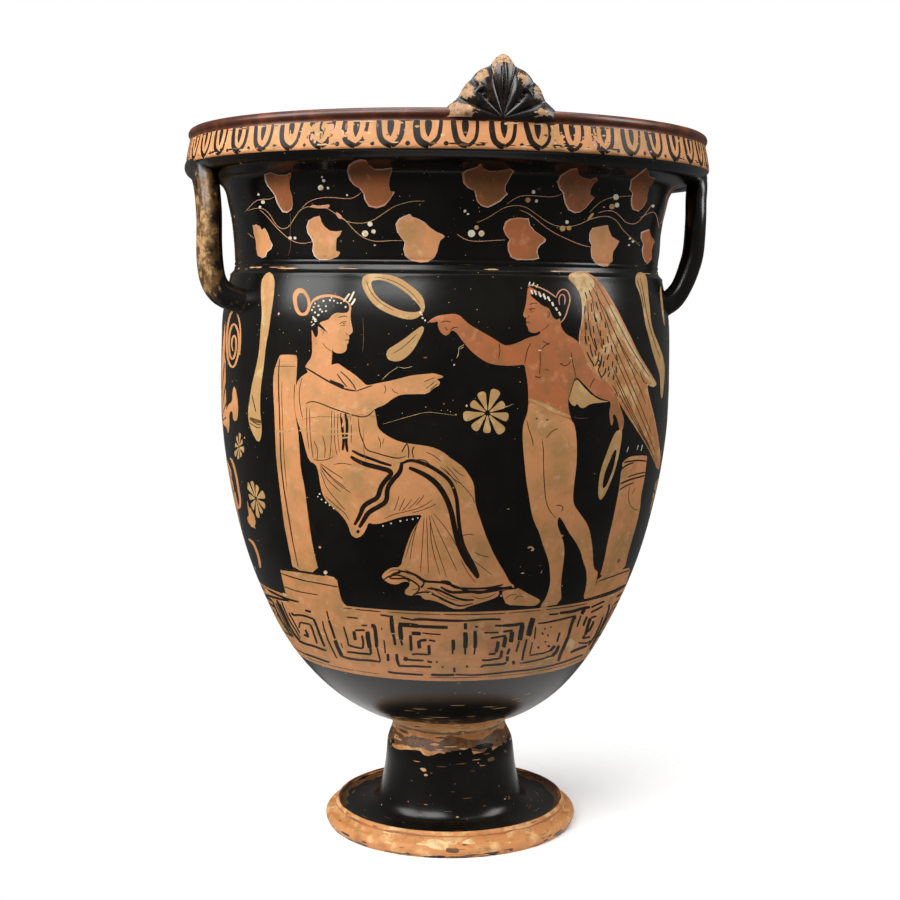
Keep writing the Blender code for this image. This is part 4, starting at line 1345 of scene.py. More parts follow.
        brush.line("526.2,322.2 528.6,321.8 530.2,322.6", 0.7)
        brush.line("547.4,311.4 549.6,312.6 549.4,316 547,318", 0.7)
        brush.line("541,330.6 546,328 549.4,324", 0.6)

    def muscles(self, brush: Brush) -> None:
        """Thin inner lines of the body."""
        brush.lines(
            "531,343 528,348 526,355 524.8,364; 543,341 549,345; 540,350 540.4,362 539.6,374; 541.4,349.4"
            " 545,345.4 550,342.6; 571,352 572.6,362 575.8,375.8; 575.8,376 572.6,385 570.6,392 568.8,399;"
            " 576,377 583.3,386 592,395; 527,421 529,430 533,441 533,446; 542,439 543.6,450 543.4,468"
            " 544.4,485 545.6,500 549.4,511 556,518; 546,438 552,431 558,428.4; 556,505.6 561,505 563.4,508"
            " 561.4,511.4; 561.4,363 563.6,366 567.6,365.4 571,361; 535,376 538.6,378 541,376.6; 545,369"
            " 549,370.6; 499,343 500.4,351 498.6,358; 440,322.6 446,320.6 451,322.4; 450.6,330 454,327"
            " 458,327.6; 445,327 447.6,330.6; 612,385 616,391 617.6,396.6; 595,378 591,384 590,389",
            0.85,
        )
        brush.dots("561,364 536.6,418.6", 0.9, Paint.LINE)

    def wreath(self, brush: Brush) -> None:
        """The thin ring that hangs from the lowered hand."""
        brush.fill(
            "616.2,430.6 611.5,440 607.7,450.8 602.3,464.6 599.2,477 597.9,492.3 599.2,499.4 601.6,499.9"
            " 606.2,492.5 611.5,480 615.4,469.2 618.5,457 620.8,444.6 622.3,433.8 621.5,430",
            Paint.TAN,
        )
        brush.fill(
            "614.8,449.4 610,460 605.4,470.8 603.1,480 602.4,488.4 605.2,487.6 609.2,480 613.6,467.7"
            " 616,455.4 616.8,450",
            Paint.GLOSS,
        )


@dataclass
class FrontScene:
    """The scene on the front of the bowl, between the ridge and the meander."""

    sheet: Unrolled
    view: Viewpoint

    def paint(self, painting: Painting) -> None:
        """Lay the furniture, the hanging things and both figures."""
        brush = Brush(painting, Thrown(self.sheet, self.view))
        self.left_edge(brush)
        self.sashes(brush)
        self.post(brush)
        self.altar(brush)
        self.pod(brush)
        for petal in rosette(9, 25.0, 12.0):
            brush.fill(petal * (1.0, 1.03) + (487.5, 413.0), Paint.TAN)
        SeatedFigure().paint(brush)
        WingedYouth().paint(brush)
        brush.dots("325.4,572.4", 2.3, Paint.WHITE)
        brush.line("527.6,548 531,546.6 534,549.4 531,551", 1.6, Paint.CREAM)
        brush.lines("637,450 638.4,445; 641,451 642.6,444.6; 627,452 628.4,447", 0.8, Paint.WHITE)

    def left_edge(self, brush: Brush) -> None:
        """The outer scroll, leaves and small rosette at the scene's left edge, on cleared ground."""
        brush.fill(
            "227,302 250,300 248,340 244,400 246,455 248,480 247,500 250,526 262,531 267,574 262,574"
            " 250,558 240,520 231,470 227,420 225.6,360",
            Paint.GLOSS,
            0,
        )
        brush.line(
            "233,351 231.4,345 232.4,337 235,335 236.4,342 235.8,352 233,360 230,357 228.8,346 229.4,333"
            " 232,324.6 235.4,324 238.4,332 239.2,345 237.6,358 234,367.6 230,366 227.2,356 226.6,343"
            " 227.2,328 229.6,315.6 233.4,309.4 237.6,313.6 240.2,325 240.6,341 239.6,355",
            1.9,
            Paint.CLAY,
        )
        brush.fill(
            "235,385 238.3,403 237.7,420 233.3,421.6 232.3,410 229,413 229.6,423 228.4,435 226.6,428"
            " 226,413 227.6,405 232.3,401.6 232.3,390",
            Paint.CLAY,
            1,
        )
        for petal in rosette(8, 14.5, 12.0):
            brush.fill(petal * (0.36, 1.0) + (239.0, 447.0), Paint.TAN, 0)
        brush.line(
            "230,458 232.4,461 236,474 238.6,490 240.6,503 238.8,509.6 236.4,503 234.6,492",
            2.0,
            Paint.CLAY,
        )
        brush.fill("248.3,504 256.6,520 253.3,530 246.4,519 249.6,514", Paint.CLAY, 1)
        brush.line("248.6,539 253.3,542.6 258.6,556 260.4,568", 2.2, Paint.CLAY)

    def sashes(self, brush: Brush) -> None:
        """Ribbons that hang from the ridge."""
        brush.fill(
            "268.8,271.6 263.7,275.8 261.3,281.7 260.7,291.7 261.3,303.3 262,313.3 260.5,330 259.2,351.7"
            " 255.8,368.3 251.7,385 249.7,398.3 247.8,411.7 248.8,423.3 251.7,431.7 256.7,441 259.5,442"
            " 261.7,435 261.7,425 260.3,415 260,405 260.5,388.3 264.2,363.3 265.8,345 268.7,331.7 270.8,315"
            " 273,301.7 274.3,290 274.7,280 272.5,274",
            Paint.TAN,
        )
        brush.fill("268.6,274 264.6,278.6 263,290 263.8,303 266.4,316 269,303 271.4,290 272,280", Paint.CLAY)
        brush.lines("250,419 256,424 261,425; 250,423 257,428 261,427; 252,395 254,404 256,412", 0.9)
        brush.fill(
            "635,279 636.7,273.3 640.8,271.8 645.8,274.2 647.5,281.7 648.3,295 650,308.3 650.8,320"
            " 653.3,331.7 658.3,343.3 662.2,353.3 664.4,363.3 664.8,371.7 664,385 662.6,398 661,398.3"
            " 660.3,388.3 660,375 656.7,365 652.5,351.7 648.3,335 645,323.3 642.5,305 639.2,291.7 635.8,285",
            Paint.TAN,
        )
        brush.lines("640,277 643,290 645,304 648,320 653,338 660,358; 637,280 641,292 644,308", 0.7)
        brush.fill("660.4,284 661.8,292 663,305 664.4,318 665,328 663,320 661,306 659.8,294", Paint.TAN)

    def post(self, brush: Brush) -> None:
        """The upright post and its stepped plinth."""
        brush.fill(
            "281.7,354.6 295,354.8 297.2,356.3 297,368.3 296,382 295,400 296.7,420 298.3,431.7 299.5,450"
            " 300.8,470 304.7,487 307,506.7 310,530 313.6,551 319.4,573.2 293,569.4 290.6,556.7 287.3,540"
            " 283.7,522 281.5,503 279,481.7 276.2,458.3 275.3,438.3 274.4,411.7 273.2,391.7 273.2,373.3"
            " 279.2,356",
            Paint.CLAY,
            1,
        )
        brush.line(
            "279.6,359 278.4,372 278.6,392 279.4,412 280.2,438 281,465 283.6,487 286,502 289.2,520"
            " 292.7,542 298.2,567",
            1.2,
        )
        brush.line("282,382 281.6,400 283,430 284,460 287,490", 0.6)
        brush.line("275.4,366.4 285,366 296,366.4", 0.6)
        brush.line("294.6,384 294,402 296.6,420 299.6,436", 0.9)
        brush.fill(
            "280,568.2 300,570.4 325,575 336.6,577.8 338.6,588.3 340.4,596.7 342.6,602.6 349,607.6 320,612"
            " 290,604 286,594.4 283.5,585 281.6,576.5",
            Paint.CLAY,
            1,
        )
        brush.line("280,569.2 300,571.4 325,575.4", 1.9, ends=0.8)
        brush.line("281,573.4 300,579.9 320,583.6 338,587", 1.2, ends=0.8)
        brush.line("282.6,586 295,590.8 308,593.4 318,594.8", 1.0)
        brush.line("268,590 276,594.2 287,599.2 299,602", 2.0)

    def altar(self, brush: Brush) -> None:
        """The short pillar on its base, behind the youth."""
        brush.fill(
            "624.6,460 630.8,456 646.6,455.3 647.2,457.6 646.6,461.5 644.4,480 641.5,492.3 640,509.2"
            " 636.9,523 632.3,538.5 627.7,555.4 624.6,569 612,574 599.2,578 603.8,563 607.7,541.5 612.3,523"
            " 615.4,507.7 618.5,492.3 620,481.5 620.8,472.3 623,467.7 621.7,464.6",
            Paint.CLAY,
            1,
        )
        brush.fill(
            "598.5,577.3 612,573.3 624.5,568.8 630.4,567.4 628,578 625.2,585.6 612,592 598,597 588.5,599.6"
            " 590.4,594 595.6,586",
            Paint.CLAY,
            1,
        )
        brush.line("624,462.6 632,460.9 640,460.2 646.5,461.2", 1.6)
        brush.line("621.6,469 627,464.8 634,462.6", 1.4)
        brush.line("628,477 636,474 645.5,472.2", 1.3)
        brush.line("620.3,483.8 630,479.4 645,475.6", 1.7)
        brush.line("619.8,489.8 626,485.7 634,482.6", 1.3)
        brush.lines("630,486 628,496 629.6,505 635,510 639,509.6; 632,494 635,488", 0.6)
        brush.line("598.4,581.2 610,577.2 622,572.8 629.2,570.2", 1.2)
        brush.line("588,599 600,595.4 614,590.6 626,584.4", 1.6)

    def pod(self, brush: Brush) -> None:
        """The long open ring and the spindle that hang between the figures."""
        brush.fill(
            "361.7,281 363.3,275.8 370,273.5 381.7,274 391.7,275.1 400,278.2 410,284.8 419.2,292.3"
            " 423.5,298.3 425.2,306.7 423.6,311.9 419.2,316.9 411.7,319.9 401.7,318.5 390,314.4 380,309.4"
            " 371.7,302.7 366.5,295 362.3,287",
            Paint.TAN,
        )
        brush.fill(
            "370.3,281.7 376,279.8 381.7,280 388.3,281.9 398.3,286.9 408.3,294.4 416.7,302.7 421.9,309.6"
            " 416.7,312.3 406.7,312 398.3,309.6 388.3,304.8 380,299.8 373.3,291.5",
            Paint.GLOSS,
        )
        brush.lines("366,280 370,292 380,303 394,311; 374,277 386,278.4 400,284 412,293 420,303", 0.7)
        brush.fill(
            "424,327 421.5,326 415,330.4 405,338.4 395,345 387.5,349.4 386,355.5 389,360.7 399.5,361.7"
            " 407.5,356.6 414.5,348.6 419,339.6 423.6,331.6",
            Paint.TAN,
        )
        brush.line("392,354 401,349 410,341 417,334", 0.6)
        brush.dots("421.8,314.6 422.6,318 420.4,312.6 425,320.4", 1.0)


@dataclass
class SideOrnament:
    """Palmettes and scrolls under a handle."""

    sheet: Unrolled
    degrees: float
    middle: float = 300.0

    def petal(self, length: float, width: float) -> np.ndarray:
        """A long leaf that points up, with a rounded tip."""
        leaf = as_points("-0.10,0 -0.30,0.35 -0.50,0.72 -0.36,0.93 0,1 0.36,0.93 0.50,0.72 0.30,0.35 0.10,0")
        return leaf * (width, length)

    def spiral(self, radius: float, turns: float, side: int) -> np.ndarray:
        """The middle line of a scroll that winds inwards."""
        shares = np.linspace(0, 1, 40)
        reach = radius * (1 - 0.86 * shares)
        turn = math.pi / 2 + side * 2 * math.pi * turns * shares
        return np.stack([reach * np.cos(turn), reach * np.sin(turn)], axis=1)

    def paint(self, painting: Painting) -> None:
        """Lay an upright and a hanging palmette, four scrolls and the leaves between them."""
        brush = Brush(painting, Around(self.sheet, self.degrees, self.middle))
        for index in range(-5, 6):
            length = 62.0 - 1.1 * abs(index) ** 1.6
            leaf = self.petal(length, 11.5) + (0.0, 9.0)
            brush.fill(turned_to(leaf, -17.5 * index), Paint.CLAY)
        for index in range(-3, 4):
            leaf = self.petal(64.0 - 3.0 * abs(index), 12.5) + (0.0, 9.0)
            brush.fill(turned_to(leaf, 180 - 19.0 * index) + (0.0, -22.0), Paint.CLAY)
        brush.fill(self.petal(14.0, 15.0) + (0.0, -12.0), Paint.CLAY)
        for side in (-1, 1):
            brush.line(self.spiral(22.5, 2.1, side) + (side * 37.0, 57.0), 4.2, Paint.CLAY, ends=0.8)
            brush.line(self.spiral(15.0, 1.6, -side) + (side * 33.0, -38.0), 3.4, Paint.CLAY, ends=0.8)
            stalk = as_points("58.5,50 61,20 57,-20 47,-60 33,-92 20,-108")
            brush.line(stalk * (side, 1.0), 3.2, Paint.CLAY)
            for leaf in (
                "24,-50 33,-62 38,-80 34,-96 30,-84 27,-68",
                "51,-54 54,-62 58,-72 62,-78 54,-80 49,-72",
            ):
                brush.fill(as_points(leaf) * (side, 1.0), Paint.CLAY)
            for petal in rosette(9, 14.5, 20.0):
                brush.fill(petal + (side * 69.0, -48.0), Paint.TAN)
            for petal in rosette(7, 12.0, 5.0):
                brush.fill(petal + (side * 48.0, -14.0), Paint.TAN)


@dataclass
class BackScene:
    """Two cloaked youths in talk on the back, plainer than the front."""

    sheet: Unrolled
    stance: float = 153.0
    figure_middle: float = 290.0
    disc_middle: float = 365.0

    def paint(self, painting: Painting) -> None:
        """Lay the pair, facing each other, with a disc hung between them across the sheet's seam."""
        for side in (1, -1):
            brush = Brush(painting, Around(self.sheet, side * self.stance, self.figure_middle))
            self.figure(brush, side)
        ring = circle(16)
        for side in (1, -1):
            brush = Brush(painting, Around(self.sheet, -180.0 * side, self.disc_middle))
            half = ring[ring[:, 0] * side >= -0.01]
            for radius, paint in ((13.0, Paint.CLAY), (10.5, Paint.GLOSS), (8.0, Paint.CLAY)):
                brush.fill(half * radius, paint, 0)

    def figure(self, brush: Brush, side: int) -> None:
        """One cloaked youth with a staff, drawn in millimetres; side gives the way that he faces."""
        flip = np.array([side, 1.0])
        cloak = as_points(
            "-9,88 -20,80 -27,66 -29,40 -27,5 -29,-30 -24,-62 -18,-86 4,-90 22,-84 21,-50 25,-20 24,10"
            " 30,28 27,40 16,44 21,56 18,72 9,84 6,90"
        )
        head = as_points(
            "-7,86 -9,92 -12,100 -9,110 -1,114 7,112 11,106 11.6,100 14,95.6 11.6,94 11.8,90.6 10,87 4,85"
            " 4,80 -6,80"
        )
        near_foot = as_points("-10,-86 -10,-100 -12,-104 8,-104 4,-99 1,-97 0,-86")
        far_foot = as_points("10,-86 10,-99 9,-104 28,-104 24,-99 19,-97 18,-86")
        for shape in (cloak, head, near_foot, far_foot):
            brush.fill(shape * flip, Paint.CLAY, 1)
        brush.fill(
            as_points("-9,91 -12.4,100 -9,110.6 -1,114.4 7.6,112 9,107 3,106 -1,101 -2,94") * flip,
            Paint.GLOSS,
        )
        for stroke in parted(
            "-20,78 -8,70 6,66 17,70; -25,60 -10,52 6,50 16,46; -27,34 -12,26 8,26 28,30; -27,10 -10,0 10,0"
            " 24,8; -27,-16 -12,-26 6,-28 24,-20; -26,-40 -12,-52 6,-56 22,-48; -14,60 -18,20 -14,-30"
            " -16,-80; 2,48 -2,10 4,-40 2,-86; 14,44 10,0 14,-50 14,-84; 5,101 8,102 11,101; 9.6,92.4"
            " 12,92.6"
        ):
            brush.line(as_points(stroke) * flip, 0.9)
        brush.line(as_points("-27,-64 -10,-78 6,-82 22,-76") * flip, 2.6)
        brush.line(as_points("34,44 35,0 37,-50 38,-103") * flip, 1.8, Paint.CLAY)


@dataclass(frozen=True)
class Scatter:
    """Uneven patches strewn round the vessel: their number, ranges of place and size, and finishes.

    Around holds the angles between which they lie or, for gathered ones, their middle and how far they stray.
    """

    count: int
    up: tuple[float, float]
    width: tuple[float, float]
    height: tuple[float, float]
    paints: tuple[Paint, ...]
    around: tuple[float, float] = (-180.0, 180.0)
    gathered: bool = False


@dataclass
class Wear:
    """What age has done: chipped and rubbed slip, bare clay at joint and foot, mended cracks, scratches."""

    sheet: Unrolled
    view: Viewpoint

    def paint(self, painting: Painting) -> None:
        """Lay the wear over the painting."""
        chance = np.random.default_rng(23)
        self.foot(painting, chance)
        self.joint(painting, chance)
        self.ridge(painting, chance)
        self.rim(painting, chance)
        self.chips(painting, chance)
        self.cracks(painting)

    def belt(
        self,
        painting: Painting,
        low: float,
        high: float,
        rough: float,
        paint: Paint,
        chance: np.random.Generator,
    ) -> None:
        """An uneven belt round the whole vessel.

        Args:
            painting: what it is added to.
            low: its lower edge on the sheet, in millimetres.
            high: its upper edge.
            rough: how far its edges stray.
            paint: its finish.
            chance: the source of its unevenness.
        """
        edge = self.sheet.half_width + 4
        stretch = self.sheet.form.flat_radius / MM / self.sheet.radius((low + high) / 2)
        across = np.arange(-edge, edge, 2.5 * stretch)
        sides = []
        for middle in (low, high):
            stray = np.convolve(chance.uniform(-1, 1, len(across) + 8), np.hanning(9), mode="valid")
            fine = chance.uniform(-0.25, 0.25, len(across))
            sides.append(np.stack([across, middle + rough * (0.75 * stray + fine)], axis=1))
        painting.shapes.append((np.vstack([sides[0], sides[1][::-1]]), paint))

    def patch(
        self, painting: Painting, spot: tuple, size: tuple, paint: Paint, chance: np.random.Generator
    ) -> None:
        """An uneven patch.

        Args:
            painting: what it is added to.
            spot: its angle in degrees and its way up the sheet.
            size: its width and height in millimetres.
            paint: its finish.
            chance: the source of its unevenness.
        """
        flat = self.sheet.form.flat_radius / MM
        stretch = flat / self.sheet.radius(spot[1])
        middle = (math.radians(spot[0]) * flat, spot[1])
        painting.shapes.append((ragged(size[0], size[1], chance) * (stretch, 1.0) + middle, paint))

    def strew(self, painting: Painting, scatters: Sequence[Scatter], chance: np.random.Generator) -> None:
        """Lay the patches of some scatters, in their order."""
        for scatter in scatters:
            place = chance.normal if scatter.gathered else chance.uniform
            for _ in range(scatter.count):
                spot = place(*scatter.around), chance.uniform(*scatter.up)
                size = chance.uniform(*scatter.width), chance.uniform(*scatter.height)
                self.patch(painting, spot, size, one_of(scatter.paints, chance), chance)

    def foot(self, painting: Painting, chance: np.random.Generator) -> None:
        """Bare clay round the foot's edge, with a red line in its groove and remnants of black."""
        self.belt(painting, 25.0, 29.5, 1.0, Paint.THIN, chance)
        self.belt(painting, -1.0, 24.8, 0.5, Paint.BARE, chance)
        self.belt(painting, 18.2, 19.3, 0.4, Paint.LEAF, chance)
        self.belt(painting, 22.9, 24.6, 0.4, Paint.LIP, chance)
        self.patch(painting, (-16.0, 12.0), (34.0, 11.0), Paint.CREAM, chance)
        self.patch(painting, (-2.0, 14.0), (12.0, 7.0), Paint.CREAM, chance)
        self.patch(painting, (-9.0, 7.0), (13.0, 5.0), Paint.THIN, chance)
        self.patch(painting, (-4.0, 11.0), (4.0, 3.0), Paint.THIN, chance)
        scatters = (
            Scatter(76, (0.2, 5.0), (3, 22), (0.9, 3.4), (Paint.GLOSS,)),
            Scatter(70, (-0.4, 1.6), (5, 20), (0.8, 2.0), (Paint.THIN,)),
            Scatter(70, (5, 24), (1.5, 9), (0.5, 1.6), (Paint.THIN, Paint.CREAM, Paint.LIP)),
            Scatter(60, (25, 48), (2, 14), (0.5, 1.4), (Paint.THIN, Paint.LIP, Paint.GLOSS)),
        )
        self.strew(painting, scatters, chance)

    def joint(self, painting: Painting, chance: np.random.Generator) -> None:
        """The ring where bowl and stem were joined, rubbed to the clay, and the patches near it."""
        self.belt(painting, 99.0, 142.0, 1.8, Paint.BARE, chance)
        self.belt(painting, 100.0, 110.5, 1.6, Paint.THIN, chance)
        self.belt(painting, 113.4, 115.4, 0.7, Paint.THIN, chance)
        self.belt(painting, 116.4, 119.0, 0.8, Paint.TAN, chance)
        self.belt(painting, 129.6, 131.2, 0.6, Paint.LINE, chance)
        ring = (Paint.THIN, Paint.THIN, Paint.THIN, Paint.GLOSS, Paint.TAN, Paint.CLAY, Paint.CREAM)
        scatters = (
            Scatter(210, (101, 142), (2, 17), (0.7, 3.2), ring),
            Scatter(16, (98, 108), (10, 34), (4, 8), (Paint.THIN,)),
            Scatter(14, (97, 103), (8, 26), (3, 7), (Paint.GLOSS,)),
            Scatter(95, (142, 154), (3, 15), (0.5, 1.5), (Paint.CLAY, Paint.TAN, Paint.THIN)),
            Scatter(34, (92, 101), (3, 11), (1.5, 5), (Paint.THIN, Paint.GLOSS)),
        )
        self.strew(painting, scatters, chance)
        self.seen_patches(painting, chance)

    def seen_patches(self, painting: Painting, chance: np.random.Generator) -> None:
        """Patches that the front shows on stem and bowl: angle, way up the sheet, width and height."""
        joint_top, deep = 140, 2.5
        seen = (
            (-34, 87, 6.5, 4.5), (-32, 83, 4.0, 3.0), (-27, 85, 2.6, 1.8), (-41, 92, 9.0, 0.9),
            (-18, 90, 10.0, 0.9), (0, 92, 12.0, 1.3), (13, 94, 9.0, 1.2), (24, 97, 8.0, 1.5),
            (10, 86, 6.0, 0.8), (19, 89, 7.0, 0.8), (-8, 72, 4.5, 0.7), (4, 67, 10.0, 0.9),
            (-30, 62, 5.0, 0.7), (-12, 58, 7.0, 0.8), (18, 60, 5.0, 0.8), (-5, 54, 3.0, 1.4),
            (2, 52, 2.2, 1.2), (-5, 176, 14.0, 1.0), (9, 172, 10.0, 1.2), (16, 168, 17.0, 1.3),
            (12, 171, 8.0, 0.7), (-22, 170, 16.0, 1.0), (-28, 166, 9.0, 0.8), (3, 158, 9.0, 0.8),
            (-14, 157, 18.0, 1.1), (22, 178, 9.0, 1.4), (27, 182, 6.0, 1.8), (25, 174, 7.0, 0.9),
        )
        for index, (degrees, way, width, height) in enumerate(seen):
            clay_shows = way > joint_top or height > deep or index % 3 == 0
            paint = Paint.TAN if clay_shows else Paint.THIN
            self.patch(painting, (degrees, way), (width, height * 0.75), paint, chance)

    def ridge(self, painting: Painting, chance: np.random.Generator) -> None:
        """The ridge over the scene, rubbed through in lengths."""
        crest, radius, worn_share, seam = 409.6, 157, 0.55, 178
        thin_rubs, rub_heights = 40, (411, 416)
        level = self.sheet.level(crest)
        degrees = -180.0
        while degrees < seam:
            length = chance.uniform(3, 26)
            if chance.random() < worn_share:
                spot = degrees, level + chance.uniform(-0.6, 0.6)
                paint = one_of((Paint.CREAM, Paint.TAN, Paint.ROSE, Paint.CLAY, Paint.THIN), chance)
                self.patch(painting, spot, (length, chance.uniform(0.6, 1.4)), paint, chance)
            degrees += math.degrees(length / radius) * chance.uniform(0.5, 1.1)
        for _ in range(thin_rubs):
            spot = chance.uniform(-180, 180), self.sheet.level(chance.uniform(*rub_heights))
            self.patch(painting, spot, (chance.uniform(2, 16), 0.5), Paint.THIN, chance)

    def rim(self, painting: Painting, chance: np.random.Generator) -> None:
        """The rim band's rubbed edges, whose cream is partly a painted highlight, and its two pale places of
        worn slip and painted highlight in one.
        """
        bottom, top = self.sheet.level(485.0), self.sheet.way[0]
        # Rubs along the band's lower and upper edges; the cream ones under the lip stand partly for a painted
        # highlight along the lip's edge.
        edges = (Paint.TAN, Paint.THIN, Paint.THIN, Paint.LINE, Paint.LINE, Paint.CREAM)
        rubs, low_share, under_top = 230, 0.55, 0.4
        for _ in range(rubs):
            edge = bottom if chance.random() < low_share else top - under_top
            spot = chance.uniform(-180, 180), edge + chance.uniform(-1.0, 1.0)
            size = chance.uniform(2, 13), chance.uniform(0.6, 1.8)
            self.patch(painting, spot, size, one_of(edges, chance), chance)
        specks = (Paint.CLAY, Paint.CLAY, Paint.TAN, Paint.CREAM, Paint.THIN)
        # Pale clay over the eggs near -33 and 16 degrees, where the side softboxes shine on the band: worn
        # slip and a painted highlight in one.
        left = (Paint.CLAY, Paint.CLAY, Paint.CLAY, Paint.ROSE, Paint.TAN, Paint.THIN)
        right = (Paint.CLAY, Paint.CLAY, Paint.ROSE)
        scatters = (
            Scatter(260, (bottom + 1, top - 1), (0.8, 4.5), (0.6, 2.4), specks),
            Scatter(60, (bottom + 2, top - 2), (1, 5), (1.5, 7), left, (-33.0, 5.0), True),
            Scatter(40, (bottom + 2, top - 1), (1, 4), (1.5, 6), right, (16.0, 4.0), True),
        )
        self.strew(painting, scatters, chance)

    def chips(self, painting: Painting, chance: np.random.Generator) -> None:
        """Small pits all over, where the slip has flaked."""
        count, bottom, top = 620, 52, self.sheet.level(482.0)
        pits = (Paint.TAN, Paint.THIN, Paint.THIN, Paint.CLAY, Paint.CREAM, Paint.ROSE)
        for _ in range(count):
            spot = chance.uniform(-180, 180), chance.uniform(bottom, top)
            width = 0.5 + chance.exponential(0.7)
            size = min(width * chance.uniform(0.8, 2.2), 6.0), min(width * chance.uniform(0.6, 1.3), 3.5)
            self.patch(painting, spot, size, one_of(pits, chance), chance)
        grain = (0.4, 0.9)
        dust = Scatter(260, (self.sheet.level(300), top), grain, grain, (Paint.CREAM,), (-24.0, 55.0), True)
        self.strew(painting, (dust,), chance)

    def cracks(self, painting: Painting) -> None:
        """Mended breaks and scratches that the front shows, in drawing units."""
        brush = Brush(painting, Thrown(self.sheet, self.view))
        brush.lines(
            "381.7,380 388,373.6 392,371 398.3,366.7; 399,367 405,368.4 412,366.4; 456.7,358.3 459,353"
            " 458,348 464,344.6; 459,349.4 463.6,347; 498,408.6 506,407 513,404",
            0.5,
            Paint.CREAM,
        )
        brush.lines(
            "290,214 291,224 289.6,236 291,247 288,256; 300,420 320,416 344,418 360,414 376,417; 364,425"
            " 363,446 366,462; 362.6,318 364,334 362.6,352; 573,417 580,418.6 588,418",
            0.5,
            Paint.THIN,
        )
        brush.fill(
            "528.6,398 536,400 548,405.6 560,411 570.6,415.6 571,418 560,415 548,409.6 536,403.6"
            " 528.4,400.4",
            Paint.TAN,
        )
        brush.lines(
            "276,430.6 284,432 291,431.4; 299,430.4 308,431.8 317,431.2; 322,434 334,434.4 344,433.2"
            " 357,434.6; 338,438.4 350,437.2; 330,428.6 340,429.4; 341,414 344,421 342,427; 350,412 352,420"
            " 349,428",
            1.5,
            Paint.TAN,
        )
        brush.line("383,424 398,419.6 412,415.6 427,411.6 441,413.6 455,415.4", 0.4, Paint.TAN)
        brush.fill("249.6,416.6 256,419 262,420.6 262,423.6 255,422.6 249.4,420", Paint.THIN)


def painted_vessel(sheet: Unrolled, view: Viewpoint) -> Painting:
    """Lay the whole painting.

    Args:
        sheet: the unrolled vessel.
        view: the viewpoint of the front drawing.

    Returns:
        The shapes, in order.
    """
    painting = Painting()
    RimBand(sheet).paint(painting)
    IvyNeck(sheet, view).paint(painting)
    KeyBorder(sheet, view).paint(painting)
    BackScene(sheet).paint(painting)
    for degrees in (-90.0, 90.0):
        SideOrnament(sheet, degrees).paint(painting)
    FrontScene(sheet, view).paint(painting)
    Wear(sheet, view).paint(painting)
    return painting


def covered(points: np.ndarray, outline: np.ndarray) -> np.ndarray:
    """Which points lie inside a closed outline, crossings of itself included.

    Args:
        points: the points to try, one row each.
        outline: the outline's corners in order.

    Returns:
        True for each point inside.
    """
    x, y = points[:, :1], points[:, 1:]
    start, end = outline, np.roll(outline, -1, axis=0)
    turn = (end[:, 0] - start[:, 0]) * (y - start[:, 1]) - (x - start[:, 0]) * (end[:, 1] - start[:, 1])
    rising = (start[:, 1] <= y) & (end[:, 1] > y) & (turn > 0)
    falling = (start[:, 1] > y) & (end[:, 1] <= y) & (turn < 0)
    return (rising.sum(axis=1) - falling.sum(axis=1)) != 0


@dataclass
class Mesh:
    """Triangles and squares of one piece, before they become a Blender object."""

    points: list[np.ndarray] = field(default_factory=list)
    normals: list[np.ndarray] = field(default_factory=list)
    spots: list[np.ndarray] = field(default_factory=list)
    faces: list[tuple[int, ...]] = field(default_factory=list)
    finishes: list[int] = field(default_factory=list)
    count: int = 0

    def add(
        self, points: np.ndarray, normals: np.ndarray, spots: np.ndarray, faces: list, finishes: Sequence[int]
    ) -> None:
        """Add a group of points and the faces between them.

        Args:
            points: the points in metres.
            normals: the surface's direction at each point.
            spots: each point's place on the texture sheet.
            faces: point numbers of each face, counted within this group.
            finishes: the finish of each face.
        """
        self.points.append(points)
        self.normals.append(normals)
        self.spots.append(spots)
        self.faces += [tuple(self.count + number for number in face) for face in faces]
        self.finishes += [int(finish) for finish in finishes]
        self.count += len(points)

    def build(self, name: str) -> bpy.types.Object:
        """Make the object, with points in the same place joined.

        Args:
            name: the object's name.

        Returns:
            The object, linked to the scene.
        """
        points, normals, spots = np.vstack(self.points), np.vstack(self.normals), np.vstack(self.spots)
        places = np.round(points / SAME_PLACE)
        _, first, joined = np.unique(places, axis=0, return_index=True, return_inverse=True)
        joined = joined.reshape(-1)
        faces, finishes, corners = [], [], []
        for face, finish in zip(self.faces, self.finishes):
            ring = [int(joined[number]) for number in face]
            if len(set(ring)) < len(ring):
                keep = [k for k in range(len(ring)) if ring[k] != ring[k - 1]]
                if len({ring[k] for k in keep}) < 3:
                    continue
                face = [face[k] for k in keep]
                ring = [ring[k] for k in keep]
            faces.append(ring)
            finishes.append(finish)
            corners += list(face)
        shape = bpy.data.meshes.new(name)
        shape.from_pydata(points[first].tolist(), [], faces)
        shape.polygons.foreach_set("use_smooth", [True] * len(faces))
        shape.polygons.foreach_set("material_index", finishes)
        sheet = shape.uv_layers.new(name="OFBake")
        sheet.uv.foreach_set("vector", spots[corners].astype(np.float32).reshape(-1))
        shape.normals_split_custom_set_from_vertices(normals[first].tolist())
        piece = bpy.data.objects.new(name, shape)
        bpy.context.scene.collection.objects.link(piece)
        return piece


def grid_faces(rows: int, columns: int) -> list[tuple[int, int, int, int]]:
    """Squares of a grid of points that is stored row after row."""
    return [
        (row * columns + k, (row + 1) * columns + k, (row + 1) * columns + k + 1, row * columns + k + 1)
        for row in range(rows - 1)
        for k in range(columns - 1)
    ]


